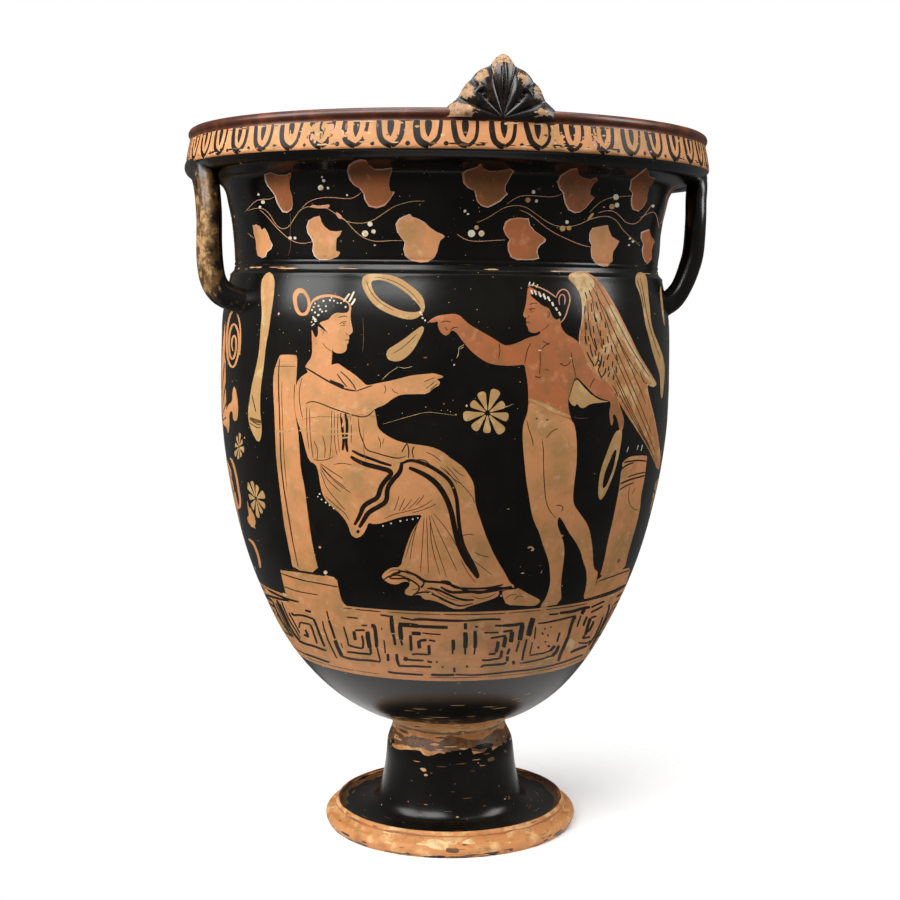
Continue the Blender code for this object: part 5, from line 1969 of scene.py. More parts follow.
@dataclass
class PaintedBody:
    """The turned vessel: its painted outside, lip, inside and hollow foot, in one piece."""

    form: VesselForm
    sheet: Unrolled
    painting: Painting
    turns: int = 144
    slack: float = 0.06
    shortest_side: float = 0.02
    longest_side: float = 7.0
    join_within: float = 1e-3
    batch: int = 4_000_000
    outside_sheet: tuple[float, float] = (0.005, 0.69)
    lip_sheet: tuple[float, float] = (0.71, 0.74)
    inside_sheet: tuple[float, float] = (0.75, 0.93)
    underside_sheet: tuple[float, float] = (0.94, 0.995)

    def outside(self, mesh: Mesh) -> None:
        """Cut the unrolled sheet along every painted outline, and roll it up."""
        columns = np.linspace(-self.sheet.half_width, self.sheet.half_width, self.turns + 1)
        levels = self.sheet.way
        flat = np.stack([np.tile(columns, len(levels)), np.repeat(levels, self.turns + 1)], axis=1)
        points = [Vector(spot) for spot in flat]
        edges = []
        width = self.turns + 1
        for row, level in enumerate(levels):
            if level in self.sheet.creases or row in (0, len(levels) - 1):
                edges += [(row * width + k, row * width + k + 1) for k in range(self.turns)]
            if row:
                edges += [((row - 1) * width + k, row * width + k) for k in (0, self.turns)]
        shapes = [(thinned(outline, self.slack), paint) for outline, paint in self.painting.shapes]
        self.painting.shapes = shapes
        for outline, _ in shapes:
            sides = np.linalg.norm(outline - np.roll(outline, 1, axis=0), axis=1)
            kept = divided(outline[sides > self.shortest_side], self.longest_side)
            if len(kept) < 3:
                continue
            start = len(points)
            points += [Vector(spot) for spot in kept]
            edges += [(start + k, start + (k + 1) % len(kept)) for k in range(len(kept))]
        cut = delaunay_2d_cdt(points, edges, [], 0, self.join_within, False)
        spots = np.array([tuple(spot) for spot in cut[0]])
        corners = np.array([face for face in cut[2] if len(face) == 3])
        middles = spots[corners].mean(axis=1)
        across, up = middles.T
        inside = (np.abs(across) < self.sheet.half_width) & (up < levels[0]) & (up > 0)
        corners, middles = corners[inside], middles[inside]
        a, b, c = spots[corners[:, 0]], spots[corners[:, 1]], spots[corners[:, 2]]
        area = (b[:, 0] - a[:, 0]) * (c[:, 1] - a[:, 1]) - (b[:, 1] - a[:, 1]) * (c[:, 0] - a[:, 0])
        corners = np.where((area < 0)[:, None], corners[:, ::-1], corners)
        finishes = self.finish_of(middles)
        solid, normals = self.sheet.on_vessel(spots)
        low, span = self.outside_sheet
        places = [0.5 + spots[:, 0] / (2 * self.sheet.half_width), low + span * spots[:, 1] / levels[0]]
        sheet_spots = np.clip(np.stack(places, axis=1), 0, 1)
        mesh.add(self.form.settle(solid), normals, sheet_spots, corners.tolist(), finishes)
        log.info("painted outside: %d shapes, %d triangles", len(self.painting.shapes), len(corners))

    def finish_of(self, middles: np.ndarray) -> np.ndarray:
        """The finish of each triangle: that of the last shape that covers its middle."""
        order = np.argsort(middles[:, 0])
        sorted_x = middles[order, 0]
        finishes = np.full(len(middles), int(Paint.GLOSS))
        for outline, paint in self.painting.shapes:
            low, high = outline.min(axis=0), outline.max(axis=0)
            near = order[np.searchsorted(sorted_x, low[0]) : np.searchsorted(sorted_x, high[0], side="right")]
            near = near[(middles[near, 1] >= low[1]) & (middles[near, 1] <= high[1])]
            for part in np.array_split(near, max(1, len(near) * len(outline) // self.batch)):
                finishes[part[covered(middles[part], outline)]] = int(paint)
        return finishes

    def turned(self, mesh: Mesh, profile: np.ndarray, paint: Paint, low: float, high: float) -> None:
        """Turn a profile into a grid.

        Args:
            mesh: what it is added to.
            profile: radius and height of its points; the surface faces left of the way along it.
            paint: its finish.
            low: where it starts on the texture sheet.
            high: where it ends there.
        """
        turns = np.linspace(-math.pi, math.pi, self.turns + 1)
        along = np.gradient(profile, axis=0)
        along /= np.linalg.norm(along, axis=1, keepdims=True)
        away = np.stack([-along[:, 1], along[:, 0]], axis=1)
        length = np.concatenate([[0.0], np.cumsum(np.linalg.norm(np.diff(profile, axis=0), axis=1))])
        rows = []
        for base in (profile, away):
            r, z = np.repeat(base[:, 0], self.turns + 1), np.repeat(base[:, 1], self.turns + 1)
            t = np.tile(turns, len(profile))
            rows.append(np.stack([r * np.sin(t), -r * np.cos(t), z], axis=1))
        across = np.tile(0.5 + turns / (2 * math.pi), len(profile))
        upward = np.repeat(low + (high - low) * length / length[-1], self.turns + 1)
        faces = grid_faces(len(profile), self.turns + 1)
        spots = np.stack([across, upward], axis=1)
        mesh.add(self.form.settle(rows[0]), rows[1], spots, faces, [paint] * len(faces))

    def build(self) -> bpy.types.Object:
        """Build the whole body."""
        mesh = Mesh()
        self.outside(mesh)
        lip = np.vstack([self.form.lip(), self.sheet.line[:1]])
        self.turned(mesh, lip, Paint.LIP, *self.lip_sheet)
        self.turned(mesh, self.form.inside()[::-1], Paint.INSIDE, *self.inside_sheet)
        self.turned(mesh, self.form.underside(), Paint.BARE, *self.underside_sheet)
        return mesh.build("krater_body")


def swept(
    mesh: Mesh, path: np.ndarray, radii: np.ndarray, sides: int, paint: int, low: float, high: float
) -> None:
    """A round rod along a path.

    Args:
        mesh: what it is added to.
        path: its middle line in metres.
        radii: its radius at each point.
        sides: its number of sides.
        paint: the number of its finish.
        low: where it starts across the texture sheet.
        high: where it ends there.
    """
    along = np.gradient(path, axis=0)
    along /= np.linalg.norm(along, axis=1, keepdims=True)
    steep = abs(along[0, 1]) >= 0.9
    side = np.cross(along[0], (1.0, 0.0, 0.0) if steep else (0.0, 1.0, 0.0))
    margin = 0.02
    points, normals, spots = [], [], []
    turns = np.linspace(0, 2 * math.pi, sides + 1)
    for index, (spot, way, radius) in enumerate(zip(path, along, radii)):
        side = side - way * float(side @ way)
        side /= np.linalg.norm(side)
        other = np.cross(way, side)
        away = np.cos(turns)[:, None] * side + np.sin(turns)[:, None] * other
        points.append(spot + radius * away)
        normals.append(away)
        upward = np.full(sides + 1, margin + (1 - 2 * margin) * index / (len(path) - 1))
        spots.append(np.stack([low + (high - low) * turns / (2 * math.pi), upward], axis=1))
    faces = [(a, d, c, b) for a, b, c, d in grid_faces(len(path), sides + 1)]
    mesh.add(np.vstack(points), np.vstack(normals), np.vstack(spots), faces, [paint] * len(faces))


@dataclass
class LoopHandle:
    """One of the two rod handles: legs that rise from the shoulder and meet in an arch under the rim."""

    form: VesselForm
    side: int
    reach: float = 0.0218
    rod_radius: float = 0.0076
    spread: float = 0.0475
    root_spread: float = 0.0510
    root_drop: float = 0.0190
    left_bow: float = 0.0055
    corner: float = 0.0170
    arch_sink: float = 0.0020
    root_swell: float = 0.16
    root_reach: float = 0.12
    end_swell: float = 0.30
    end_reach: float = 0.035
    sides: int = 28
    leg_shape: tuple = (
        (0.245, 0.050, 0.75),
        (0.490, 0.110, 1.00),
        (0.680, 0.190, 0.95),
        (0.850, 0.300, 0.60),
        (0.980, 0.430, 0.20),
        (1.030, 0.650, 0.00),
    )

    def path(self) -> np.ndarray:
        """The handle's middle line."""
        bow = self.left_bow if self.side < 0 else 0.0
        start = self.form.shoulder_radius
        arch = self.form.band_start - self.arch_sink
        root = self.form.shoulder - self.root_drop
        leg = [(start - 0.0035, root - 0.2 * bow, self.root_spread)]
        for outward, upward, bowed in self.leg_shape:
            radius = start + self.reach * outward + bow * bowed
            leg.append((radius, root + (arch - root) * upward - 0.3 * bow * bowed, self.root_spread))
        for share in (0.0, 0.33, 0.67, 1.0):
            turn = share * math.pi / 2
            radius = start + self.reach + 0.0008 + 0.0017 * share
            across = self.spread - self.corner + self.corner * math.cos(turn)
            leg.append((radius, arch - self.corner + self.corner * math.sin(turn), across))
        half = [(r * math.cos(across / r), across, height) for r, height, across in leg]
        crown = (start + self.reach + 0.0025, 0.0, arch)
        mirrored = [(x, -y, z) for x, y, z in reversed(half)]
        return through(np.array([*half, crown, *mirrored]) * (self.side, 1.0, 1.0), 7)

    def build(self) -> bpy.types.Object:
        """Build the handle, thicker where the clay was pressed onto the shoulder."""
        path = self.path()
        share = np.linspace(0, 1, len(path))
        end = np.minimum(share, 1 - share)
        root = self.root_swell * np.clip(1 - end / self.root_reach, 0, 1)
        tip = self.end_swell * np.clip(1 - end / self.end_reach, 0, 1) ** 2
        radii = self.rod_radius * (1 + root + tip)
        radii *= 1 + 0.012 * np.sin(17 * share + self.side) + 0.010 * np.sin(41 * share)
        mesh = Mesh()
        swept(mesh, self.form.settle(path), radii, self.sides, 0, 0.02, 0.98)
        return mesh.build(f"{'left' if self.side < 0 else 'right'}_handle")


@dataclass
class RimPalmette:
    """The modelled palmette on the lip: a fan of petals, a knob at its tip and two volutes at its foot."""

    form: VesselForm
    front: int
    height: float = 0.0328
    half_width: float = 0.0287
    crown: float = 0.0040
    skirt: float = 0.0085
    thickness: float = 0.0074
    sink: float = 0.0060
    petal_step: float = math.radians(27)
    relief: float = 0.0026
    notch: float = 0.0013
    scroll_radius: float = 0.0062
    scroll_rod: float = 0.0017
    scroll_across: float = 0.0120
    scroll_up: float = 0.0060
    scroll_start: float = 100.0
    scroll_turn: float = 400.0
    scroll_sheets: tuple[float, float] = (0.02, 0.94)
    # Where each petal's crest takes pale clay, as rubbed slip and a painted highlight: the share along the
    # petal where it starts and ends, and how high on the crest.
    petal_wear_and_highlight: dict[int, tuple[float, float, float]] = field(
        default_factory=lambda: {
            3: (0.48, 0.97, 0.40),
            2: (0.76, 1.01, 0.45),
            1: (0.80, 0.96, 0.55),
            0: (0.84, 1.01, 0.20),
            -1: (0.76, 0.89, 0.64),
            -2: (0.85, 0.97, 0.60),
            -3: (0.55, 0.80, 0.85),
        }
    )

    def on_rim(self, across: np.ndarray, up: np.ndarray, out: np.ndarray) -> np.ndarray:
        """Points of the palmette: across and up its face, and out from the lip's centre line."""
        middle = self.form.lip_centre[0]
        radius = middle + out
        turn = across / middle
        x, y = radius * np.sin(turn), -self.front * radius * np.cos(turn)
        return np.stack([x, y, self.form.rim_top + up], axis=-1)

    def outline(self, from_top: np.ndarray) -> np.ndarray:
        """How far the fan reaches at an angle from the upright petal."""
        knob = self.height + self.sink - self.half_width - self.crown
        knob_spread, skirt_spread = 0.20, 0.28
        fan = self.half_width + self.crown * np.cos(from_top) ** 2
        reach = fan + knob * np.exp(-((from_top / knob_spread) ** 2))
        return reach + self.skirt * np.exp(-(((math.pi / 2 - from_top) / skirt_spread) ** 2))

    def fan(self, mesh: Mesh) -> None:
        """Both faces of the fan and the edge between them."""
        turn = np.linspace(0, math.pi, 121)
        share = np.concatenate([np.linspace(0, 0.92, 19), [0.96, 0.985, 1.0]])
        turn, share = np.meshgrid(turn, share)
        from_top = np.abs(turn - math.pi / 2)
        petal = np.abs(np.cos(math.pi * from_top / self.petal_step))
        reach = self.outline(from_top) - self.notch * (1 - petal) * np.sin(turn)
        across, up = reach * share * np.cos(turn), reach * share * np.sin(turn) - self.sink
        round_off = np.sqrt(np.clip(1 - share**10, 0, 1))
        shape = np.sin(math.pi * np.minimum(share**1.4, 0.92)) * np.clip(from_top * 40 * share, 0.4, 1)
        relief = self.relief * petal**0.7 * shape
        half = self.thickness / 2 * (1 - 0.45 * share**4) * (0.25 + 0.75 * round_off)
        front_face = self.on_rim(across, up, half + relief)
        back_face = self.on_rim(across, up, -half)
        for points, face in ((front_face, 1), (back_face, -1)):
            rows, columns = points.shape[:2]
            step_turn, step_share = np.gradient(points, axis=1), np.gradient(points, axis=0)
            away = np.cross(step_turn, step_share) * (face * self.front)
            away[0] = away[1].mean(axis=0)
            size = np.linalg.norm(away, axis=2, keepdims=True)
            away = away / np.maximum(size, 1e-12)
            inner, outer = np.zeros_like(across), np.ones_like(across)
            outward = self.on_rim(across, up, outer) - self.on_rim(across, up, inner)
            away *= np.sign((away * outward).sum(axis=2, keepdims=True) * face + TINY)
            spots = np.stack([0.25 + 0.5 * (face < 0) + across * 3.2, 0.25 + up * 6.0], axis=2)
            faces = grid_faces(rows, columns)
            if face * self.front < 0:
                faces = [(a, d, c, b) for a, b, c, d in faces]
            # The front face's petal crests take pale clay, partly a painted highlight.
            finishes = self.worn(turn, share, petal) if face > 0 else [0] * len(faces)
            mesh.add(points.reshape(-1, 3), away.reshape(-1, 3), spots.reshape(-1, 2), faces, finishes)
        rim = np.stack([front_face[-1], back_face[-1]])
        away = rim - self.on_rim(np.zeros(1), np.full(1, 0.004), np.zeros(1))
        away /= np.linalg.norm(away, axis=2, keepdims=True)
        columns = rim.shape[1]
        sideways = np.tile(np.linspace(0.10, 0.90, columns), 2)
        spots = np.stack([sideways, np.repeat([0.55, 0.60], columns)], axis=1)
        faces = grid_faces(2, columns)
        if self.front < 0:
            faces = [(a, d, c, b) for a, b, c, d in faces]
        mesh.add(rim.reshape(-1, 3), away.reshape(-1, 3), spots, faces, [0] * len(faces))

    def worn(self, turn: np.ndarray, share: np.ndarray, petal: np.ndarray) -> list[int]:
        """Which squares of the face take the pale clay: the crests of some petals, near their tips, as rubbed
        slip and painted highlight in one.
        """
        chance = np.random.default_rng(3)
        finishes = []
        for row in range(turn.shape[0] - 1):
            for k in range(turn.shape[1] - 1):
                index = round((turn[row, k] - math.pi / 2) / self.petal_step)
                start, end, crest = self.petal_wear_and_highlight.get(index * self.front, (0.8, 0.95, 0.95))
                rough = chance.uniform(-0.05, 0.05)
                rubbed = start + rough < share[row, k] < end + rough and petal[row, k] > crest + 2 * rough
                finishes.append(1 if rubbed else 0)
        return finishes

    def volute(self, mesh: Mesh, side: int) -> None:
        """One of the two scrolls at the fan's foot."""
        share = np.linspace(0, 1, 44)
        radius = self.scroll_radius * (1 - 0.80 * share)
        turn = np.radians(self.scroll_start - self.scroll_turn * share)
        across = side * (self.scroll_across + radius * np.cos(turn))
        up = self.scroll_up + radius * np.sin(turn)
        path = self.on_rim(across, up, np.full_like(across, self.thickness / 2))
        start = self.scroll_sheets[side > 0]
        swept(mesh, path, self.scroll_rod * (1.1 - 0.25 * share), 10, 0, start, start + 0.04)

    def build(self) -> bpy.types.Object:
        """Build the palmette on the leaning rim."""
        mesh = Mesh()
        self.fan(mesh)
        for side in (-1, 1):
            self.volute(mesh, side)
        mesh.points = [self.form.settle(points) for points in mesh.points]
        return mesh.build(f"{'front' if self.front > 0 else 'back'}_palmette")


def linear(colour: str) -> tuple[float, float, float, float]:
    """Linear RGBA of an sRGB hex colour such as #a0522d."""
    values = [int(colour[start : start + 2], 16) / 255 for start in (1, 3, 5)]
    return (*[v / 12.92 if v <= 0.04045 else ((v + 0.055) / 1.055) ** 2.4 for v in values], 1.0)


def per_metre(millimetres: float) -> float:
    """Texture scale that gives a pattern of the given size."""
    return 1.0 / (millimetres * MM)


def add(tree: bpy.types.NodeTree, kind: str, settings: dict, links: dict) -> bpy.types.Node:
    """Add a node with its settings and links.

    Args:
        tree: the node tree.
        kind: the node's type.
        settings: its properties, and the values of its inputs by name or number.
        links: the sockets that feed its inputs, by input name or number.

    Returns:
        The node.
    """
    made = tree.nodes.new(kind)
    for name, value in settings.items():
        if isinstance(name, str) and hasattr(made, name):
            setattr(made, name, value)
        else:
            made.inputs[name].default_value = value
    for name, source in links.items():
        tree.links.new(source, made.inputs[name])
    return made


@dataclass(frozen=True)
class Marks:
    """Uneven spots on a finish: their colour, size in millimetres and how much of the surface they take."""

    colour: str
    size: float
    low: float
    high: float
    detail: float = 4.0
    rough: float = 0.6


@dataclass(frozen=True)
class Finish:
    """A fired surface: its colour, its marks from the largest to the smallest, and its sheen."""

    name: str
    colour: str
    marks: tuple[Marks, ...]
    roughness: float
    worn_roughness: float = 0.75
    relief: float = 0.10
    relief_size: float = 1.6
    sheen: float = 0.5
    relief_strength: float = 0.4

    def make(self) -> bpy.types.Material:
        """Build the material."""
        material = bpy.data.materials.new(self.name)
        material.use_nodes = True
        tree = material.node_tree
        shader = tree.nodes["Principled BSDF"]
        place = add(tree, "ShaderNodeTexCoord", {}, {}).outputs["Object"]
        tone = None
        for mark in self.marks:
            share = self.share(tree, place, mark)
            settings = {"data_type": "RGBA", 7: linear(mark.colour)}
            if tone is None:
                settings[6] = linear(self.colour)
            links = {0: share} if tone is None else {0: share, 6: tone}
            tone = add(tree, "ShaderNodeMix", settings, links).outputs[2]
        tree.links.new(tone, shader.inputs["Base Color"])
        settings = {"To Min": self.roughness, "To Max": self.worn_roughness}
        rough = add(tree, "ShaderNodeMapRange", settings, {"Value": share})
        tree.links.new(rough.outputs["Result"], shader.inputs["Roughness"])
        shader.inputs["Specular IOR Level"].default_value = self.sheen
        settings = {"Scale": per_metre(self.relief_size), "Detail": 4.0, "Roughness": 0.6}
        grain = add(tree, "ShaderNodeTexNoise", settings, {"Vector": place})
        settings = {"Strength": self.relief_strength, "Distance": self.relief * MM}
        bump = add(tree, "ShaderNodeBump", settings, {"Height": grain.outputs["Fac"]})
        tree.links.new(bump.outputs["Normal"], shader.inputs["Normal"])
        return material

    def share(
        self, tree: bpy.types.NodeTree, place: bpy.types.NodeSocket, mark: Marks
    ) -> bpy.types.NodeSocket:
        """How much of a mark shows at each place, from none to all."""
        settings = {"Scale": per_metre(mark.size), "Detail": mark.detail, "Roughness": mark.rough}
        noise = add(tree, "ShaderNodeTexNoise", settings, {"Vector": place})
        settings = {"From Min": mark.low, "From Max": mark.high}
        return add(tree, "ShaderNodeMapRange", settings, {"Value": noise.outputs["Fac"]}).outputs["Result"]


@dataclass(frozen=True)
class HeldFinish(Finish):
    """A handle's slip, rubbed through where a hand held it, between two heights in metres."""

    low: float = 0.386
    high: float = 0.470
    low_fade: float = 0.006
    high_fade: float = 0.012
    inner: float = -0.166
    outer: float = -0.176
    held_more: float = 0.22

    def share(
        self, tree: bpy.types.NodeTree, place: bpy.types.NodeSocket, mark: Marks
    ) -> bpy.types.NodeSocket:
        """As for any finish, and more of it on the outer side between the two heights."""
        settings = {"Scale": per_metre(mark.size), "Detail": mark.detail, "Roughness": mark.rough}
        noise = add(tree, "ShaderNodeTexNoise", settings, {"Vector": place}).outputs["Fac"]
        parts = add(tree, "ShaderNodeSeparateXYZ", {}, {0: place})
        settings = {"From Min": self.low - self.low_fade, "From Max": self.low}
        rise = add(tree, "ShaderNodeMapRange", settings, {"Value": parts.outputs["Z"]})
        settings = {"From Min": self.high + self.high_fade, "From Max": self.high}
        fall = add(tree, "ShaderNodeMapRange", settings, {"Value": parts.outputs["Z"]})
        settings = {"From Min": self.inner, "From Max": self.outer}
        outer = add(tree, "ShaderNodeMapRange", settings, {"Value": parts.outputs["X"]})
        times = {"operation": "MULTIPLY"}
        held = add(tree, "ShaderNodeMath", times, {0: rise.outputs[0], 1: fall.outputs[0]})
        held = add(tree, "ShaderNodeMath", times, {0: held.outputs[0], 1: outer.outputs[0]})
        settings = {"operation": "MULTIPLY_ADD", 1: self.held_more}
        shifted = add(tree, "ShaderNodeMath", settings, {0: held.outputs[0], 2: noise})
        settings = {"From Min": mark.low, "From Max": mark.high}
        return add(tree, "ShaderNodeMapRange", settings, {"Value": shifted.outputs[0]}).outputs["Result"]


def krater_finishes() -> list[Finish]:
    """The finishes of the body, in the order of Paint: matt clay and slip, and the glossy black."""
    return [
        # Black gloss: an iron-rich slip sintered in the kiln, dense and shiny, browner where it lies thin.
        Finish(
            "black_gloss_slip",
            "#0b0a08",
            (
                Marks("#16140f", 46, 0.42, 0.66),
                Marks("#2b2015", 15, 0.64, 0.78, 6.0, 0.68),
                Marks("#9a693f", 1.5, 0.73, 0.77),
            ),
            0.24,
            0.60,
            0.07,
            3.0,
            0.30,
        ),
        # Reserved clay: the body's own fired clay under a thin ochre wash, matt and mottled.
        Finish(
            "reserved_clay",
            "#d6925c",
            (
                Marks("#b4854f", 24, 0.44, 0.64, 5.0),
                Marks("#dba476", 9, 0.56, 0.72, 5.0),
                Marks("#b9693f", 15, 0.60, 0.78, 5.0),
                Marks("#7c4d2b", 1.3, 0.69, 0.76),
            ),
            0.62,
        ),
        # Drawn lines: slip as in the ground, laid thin enough to go brown and to break up.
        Finish(
            "diluted_slip_line",
            "#140d08",
            (Marks("#2c1a0d", 7, 0.48, 0.68), Marks("#ab7345", 1.6, 0.67, 0.72)),
            0.45,
            sheen=0.25,
        ),
        # Added white: a chalky paste laid over the gloss, flaked.
        Finish(
            "added_white",
            "#e6dcc6",
            (Marks("#d3b88c", 5, 0.50, 0.66), Marks("#8a5f3c", 1.3, 0.66, 0.73)),
            0.80,
        ),
        # Lip: a red-brown wash, smooth from handling.
        Finish(
            "red_brown_lip_wash",
            "#48200e",
            (
                Marks("#6a351b", 14, 0.46, 0.64),
                Marks("#3a2013", 5, 0.62, 0.72),
                Marks("#c08a5c", 1.8, 0.70, 0.76),
            ),
            0.34,
            0.6,
        ),
        # Bare clay at the joint and on the foot, rubbed and dusty.
        Finish(
            "bare_worn_clay",
            "#bb7d45",
            (
                Marks("#dab07a", 12, 0.50, 0.66),
                Marks("#9c6634", 9, 0.52, 0.68, 5.0),
                Marks("#8f5a2e", 6, 0.60, 0.72, 6.0),
                Marks("#3b281a", 1.8, 0.69, 0.75),
            ),
            0.62,
        ),
        # Pale rubbed clay and old filling.
        Finish(
            "cream_clay",
            "#d8b887",
            (Marks("#b98d5a", 6, 0.48, 0.66), Marks("#6d4a2c", 1.4, 0.68, 0.75)),
            0.72,
        ),
        # Inside: the same slip, dull and thin.
        Finish(
            "dull_inside_slip",
            "#191512",
            (Marks("#2c2119", 40, 0.45, 0.65), Marks("#5c4330", 2.5, 0.70, 0.76)),
            0.50,
        ),
        # Ivy leaves: clay under a red wash that has darkened; on the front's upper row its depth stands partly
        # for painted shade under the flare.
        Finish(
            "red_washed_leaf",
            "#9c582c",
            (
                Marks("#82542a", 11, 0.44, 0.64),
                Marks("#c07a4c", 4, 0.60, 0.74),
                Marks("#5f3a22", 1.3, 0.68, 0.75),
            ),
            0.60,
        ),
        # Thin pinkish edges of clay that show round the leaves and along scratches.
        Finish(
            "pink_clay_edge",
            "#d08f6e",
            (Marks("#e3b597", 3, 0.56, 0.68), Marks("#7a4a30", 1.3, 0.68, 0.75)),
            0.65,
        ),
        # Slip so thin that it has fired brown.
        Finish(
            "thin_brown_slip",
            "#5a3a1a",
            (Marks("#80552a", 5, 0.48, 0.66), Marks("#1f1710", 3, 0.60, 0.70)),
            0.45,
        ),
        # Tan wash on wing, wreath and hanging things.
        Finish(
            "tan_wash",
            "#bb9059",
            (
                Marks("#d2ad78", 8, 0.52, 0.68),
                Marks("#8e6636", 4, 0.60, 0.74, 6.0),
                Marks("#4b3420", 1.2, 0.69, 0.76),
            ),
            0.68,
        ),
        # Clay that has kept its red wash, deeper and redder than the rest.
        Finish(
            "ruddy_washed_clay",
            "#b46738",
            (
                Marks("#9a6234", 18, 0.46, 0.66, 5.0),
                Marks("#c98457", 8, 0.56, 0.72, 5.0),
                Marks("#6b3c20", 1.3, 0.68, 0.75),
            ),
            0.58,
        ),
    ]


def handle_finishes() -> dict[int, Finish]:
    """The finish of each handle by its side: the left is rubbed to the clay, the right only spotted."""
    return {
        -1: HeldFinish(
            "rubbed_handle_slip",
            "#14110d",
            (Marks("#6a4c2b", 11, 0.58, 0.74, 6.0, 0.66), Marks("#b98f5c", 8, 0.70, 0.82, 6.0, 0.70)),
            0.28,
            0.62,
        ),
        1: Finish(
            "spotted_handle_slip",
            "#12100d",
            (Marks("#1f1812", 12, 0.48, 0.66), Marks("#8d6039", 3.2, 0.72, 0.77)),
            0.24,
            0.6,
        ),
    }


def palmette_finishes() -> list[Finish]:
    """The palmettes' slip, and the pale clay on what stands out, which is rubbed slip and painted highlight in
    one.
    """
    return [
        Finish(
            "palmette_slip",
            "#15120f",
            (Marks("#3b2a1c", 7, 0.52, 0.68, 6.0), Marks("#a47a4c", 2.2, 0.66, 0.74)),
            0.26,
            0.6,
            0.2,
        ),
        # Pale clay on the crests: rubbed slip, and partly a painted highlight.
        Finish(
            "rubbed_and_highlit_palmette_clay",
            "#a67d54",
            (Marks("#c9a37a", 4, 0.52, 0.68), Marks("#4a3220", 2.6, 0.52, 0.66, 6.0)),
            0.55,
            0.7,
            0.2,
        ),
    ]


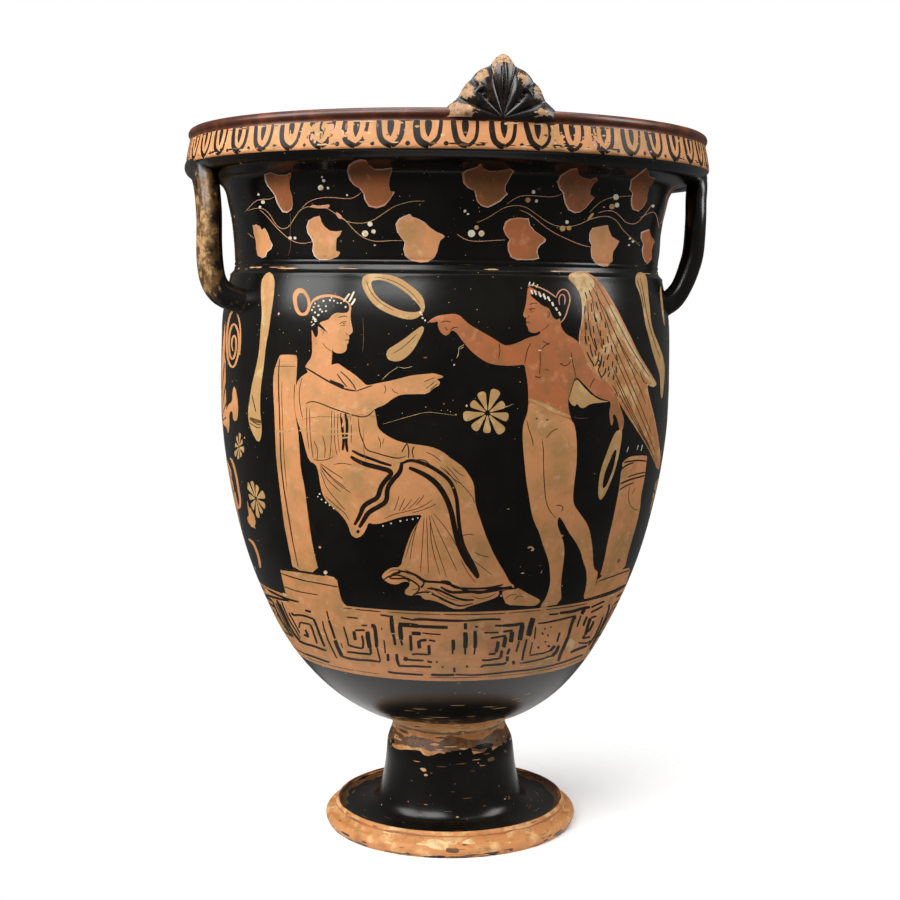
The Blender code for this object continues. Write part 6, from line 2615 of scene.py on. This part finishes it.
@dataclass
class Studio:
    """The pale floor, the soft lights and the camera.

    Each of the lamps has its name, degrees round from the camera and up, distance, size and power.
    """

    view: Viewpoint
    floor_reach: float = 2.0
    fade_from: float = 0.10
    fade_to: float = 0.30
    floor_colour: str = "#fdfdfc"
    floor_roughness: float = 0.9
    room_light: float = 0.12
    lit_height: float = 0.27
    lamps: tuple = (
        ("left_softbox", -72.0, 32.0, 1.9, (1.0, 1.1), 25.0),
        ("right_softbox", 80.0, 32.0, 1.9, (0.7, 1.0), 18.0),
        ("front_softbox", -30.0, 38.0, 3.0, (1.7, 1.5), 70.0),
        ("ceiling_softbox", 0.0, 88.0, 2.6, (2.6, 2.6), 78.0),
    )

    def lay_floor(self) -> None:
        """A wide pale floor that fades into the pale surroundings."""
        bpy.ops.mesh.primitive_circle_add(vertices=96, radius=self.floor_reach, fill_type="NGON")
        floor = bpy.context.object
        floor.name = "studio_floor"
        material = bpy.data.materials.new("pale_studio_paper")
        material.use_nodes = True
        tree = material.node_tree
        shader = tree.nodes["Principled BSDF"]
        shader.inputs["Base Color"].default_value = linear(self.floor_colour)
        shader.inputs["Roughness"].default_value = self.floor_roughness
        shader.inputs["Specular IOR Level"].default_value = 0.0
        place = add(tree, "ShaderNodeTexCoord", {}, {}).outputs["Object"]
        reach = add(tree, "ShaderNodeVectorMath", {"operation": "LENGTH"}, {0: place}).outputs["Value"]
        settings = {"interpolation_type": "SMOOTHSTEP", "From Min": self.fade_from, "From Max": self.fade_to}
        share = add(tree, "ShaderNodeMapRange", settings, {"Value": reach}).outputs["Result"]
        clear = add(tree, "ShaderNodeBsdfTransparent", {}, {}).outputs[0]
        mix = add(tree, "ShaderNodeMixShader", {}, {0: share, 1: shader.outputs[0], 2: clear})
        tree.links.new(mix.outputs[0], tree.nodes["Material Output"].inputs["Surface"])
        floor.data.materials.append(material)

    def light_room(self) -> None:
        """Pale surroundings: white behind the vessel for the eye, much dimmer as a light."""
        world = bpy.data.worlds.new("pale_room")
        bpy.context.scene.world = world
        world.use_nodes = True
        tree = world.node_tree
        seen = tree.nodes["Background"]
        seen.inputs["Color"].default_value = (1.0, 1.0, 1.0, 1.0)
        seen.inputs["Strength"].default_value = 1.0
        settings = {"Color": (1.0, 1.0, 1.0, 1.0), "Strength": self.room_light}
        soft = add(tree, "ShaderNodeBackground", settings, {})
        path = add(tree, "ShaderNodeLightPath", {}, {})
        links = {0: path.outputs["Is Camera Ray"], 1: soft.outputs[0], 2: seen.outputs[0]}
        mix = add(tree, "ShaderNodeMixShader", {}, links)
        tree.links.new(mix.outputs[0], tree.nodes["World Output"].inputs["Surface"])

    def hang_lights(self) -> None:
        """A tall softbox on each side, one in front and a wide soft light over the floor."""
        for name, around, up, away, size, power in self.lamps:
            self.softbox(name, around, up, away, size, power)

    def softbox(
        self, name: str, around: float, up: float, away: float, size: tuple[float, float], power: float
    ) -> None:
        """An area light that faces the vessel.

        Args:
            name: its name.
            around: degrees from the camera's side, to the right.
            up: degrees above level.
            away: its distance in metres.
            size: its width and height in metres.
            power: its power in watts.
        """
        data = bpy.data.lights.new(name, "AREA")
        data.shape = "RECTANGLE"
        data.size, data.size_y = size
        data.energy = power
        lamp = bpy.data.objects.new(name, data)
        bpy.context.scene.collection.objects.link(lamp)
        turn = self.view.azimuth + math.radians(around)
        rise = math.radians(up)
        middle = Vector((0.0, 0.0, self.lit_height))
        ahead = Vector((math.sin(turn) * math.cos(rise), -math.cos(turn) * math.cos(rise), math.sin(rise)))
        lamp.location = middle + ahead * away
        lamp.rotation_euler = (-ahead).to_track_quat("-Z", "Y").to_euler()

    def set_camera(self) -> None:
        """The camera at the photograph's viewing angle."""
        data = bpy.data.cameras.new("photo_camera")
        data.lens = self.view.lens / MM
        data.sensor_width = self.view.film / MM
        camera = bpy.data.objects.new("photo_camera", data)
        bpy.context.scene.collection.objects.link(camera)
        camera.location = self.view.place
        camera.rotation_euler = (math.pi / 2 - self.view.pitch, 0.0, self.view.azimuth)
        bpy.context.scene.camera = camera


def join_frame(piece: bpy.types.Object) -> None:
    """Tie a piece to the vessel's body, and hide the imported part that it stands in for."""
    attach(piece, BODY)
    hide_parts(NODE)


def main() -> None:
    """Build the vessel, its handles, palmettes and the studio."""
    logging.basicConfig(level=logging.INFO, format="%(message)s")
    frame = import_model()
    form = VesselForm()
    sheet = Unrolled(form)
    view = Viewpoint()
    body = PaintedBody(form, sheet, painted_vessel(sheet, view)).build()
    for finish in krater_finishes():
        body.data.materials.append(finish.make())
    join_frame(body)
    log.info("body: %d faces", len(body.data.polygons))
    for side, finish in handle_finishes().items():
        handle = LoopHandle(form, side).build()
        handle.data.materials.append(finish.make())
        join_frame(handle)
        log.info("%s: %d faces", handle.name, len(handle.data.polygons))
    worn = [finish.make() for finish in palmette_finishes()]
    for front in (1, -1):
        palmette = RimPalmette(form, front).build()
        for material in worn:
            palmette.data.materials.append(material)
        join_frame(palmette)
        log.info("%s: %d faces", palmette.name, len(palmette.data.polygons))
    studio = Studio(view)
    studio.lay_floor()
    studio.light_room()
    studio.hang_lights()
    studio.set_camera()
    bpy.context.scene.view_settings.view_transform = "Standard"


if __name__ == "__main__":
    main()
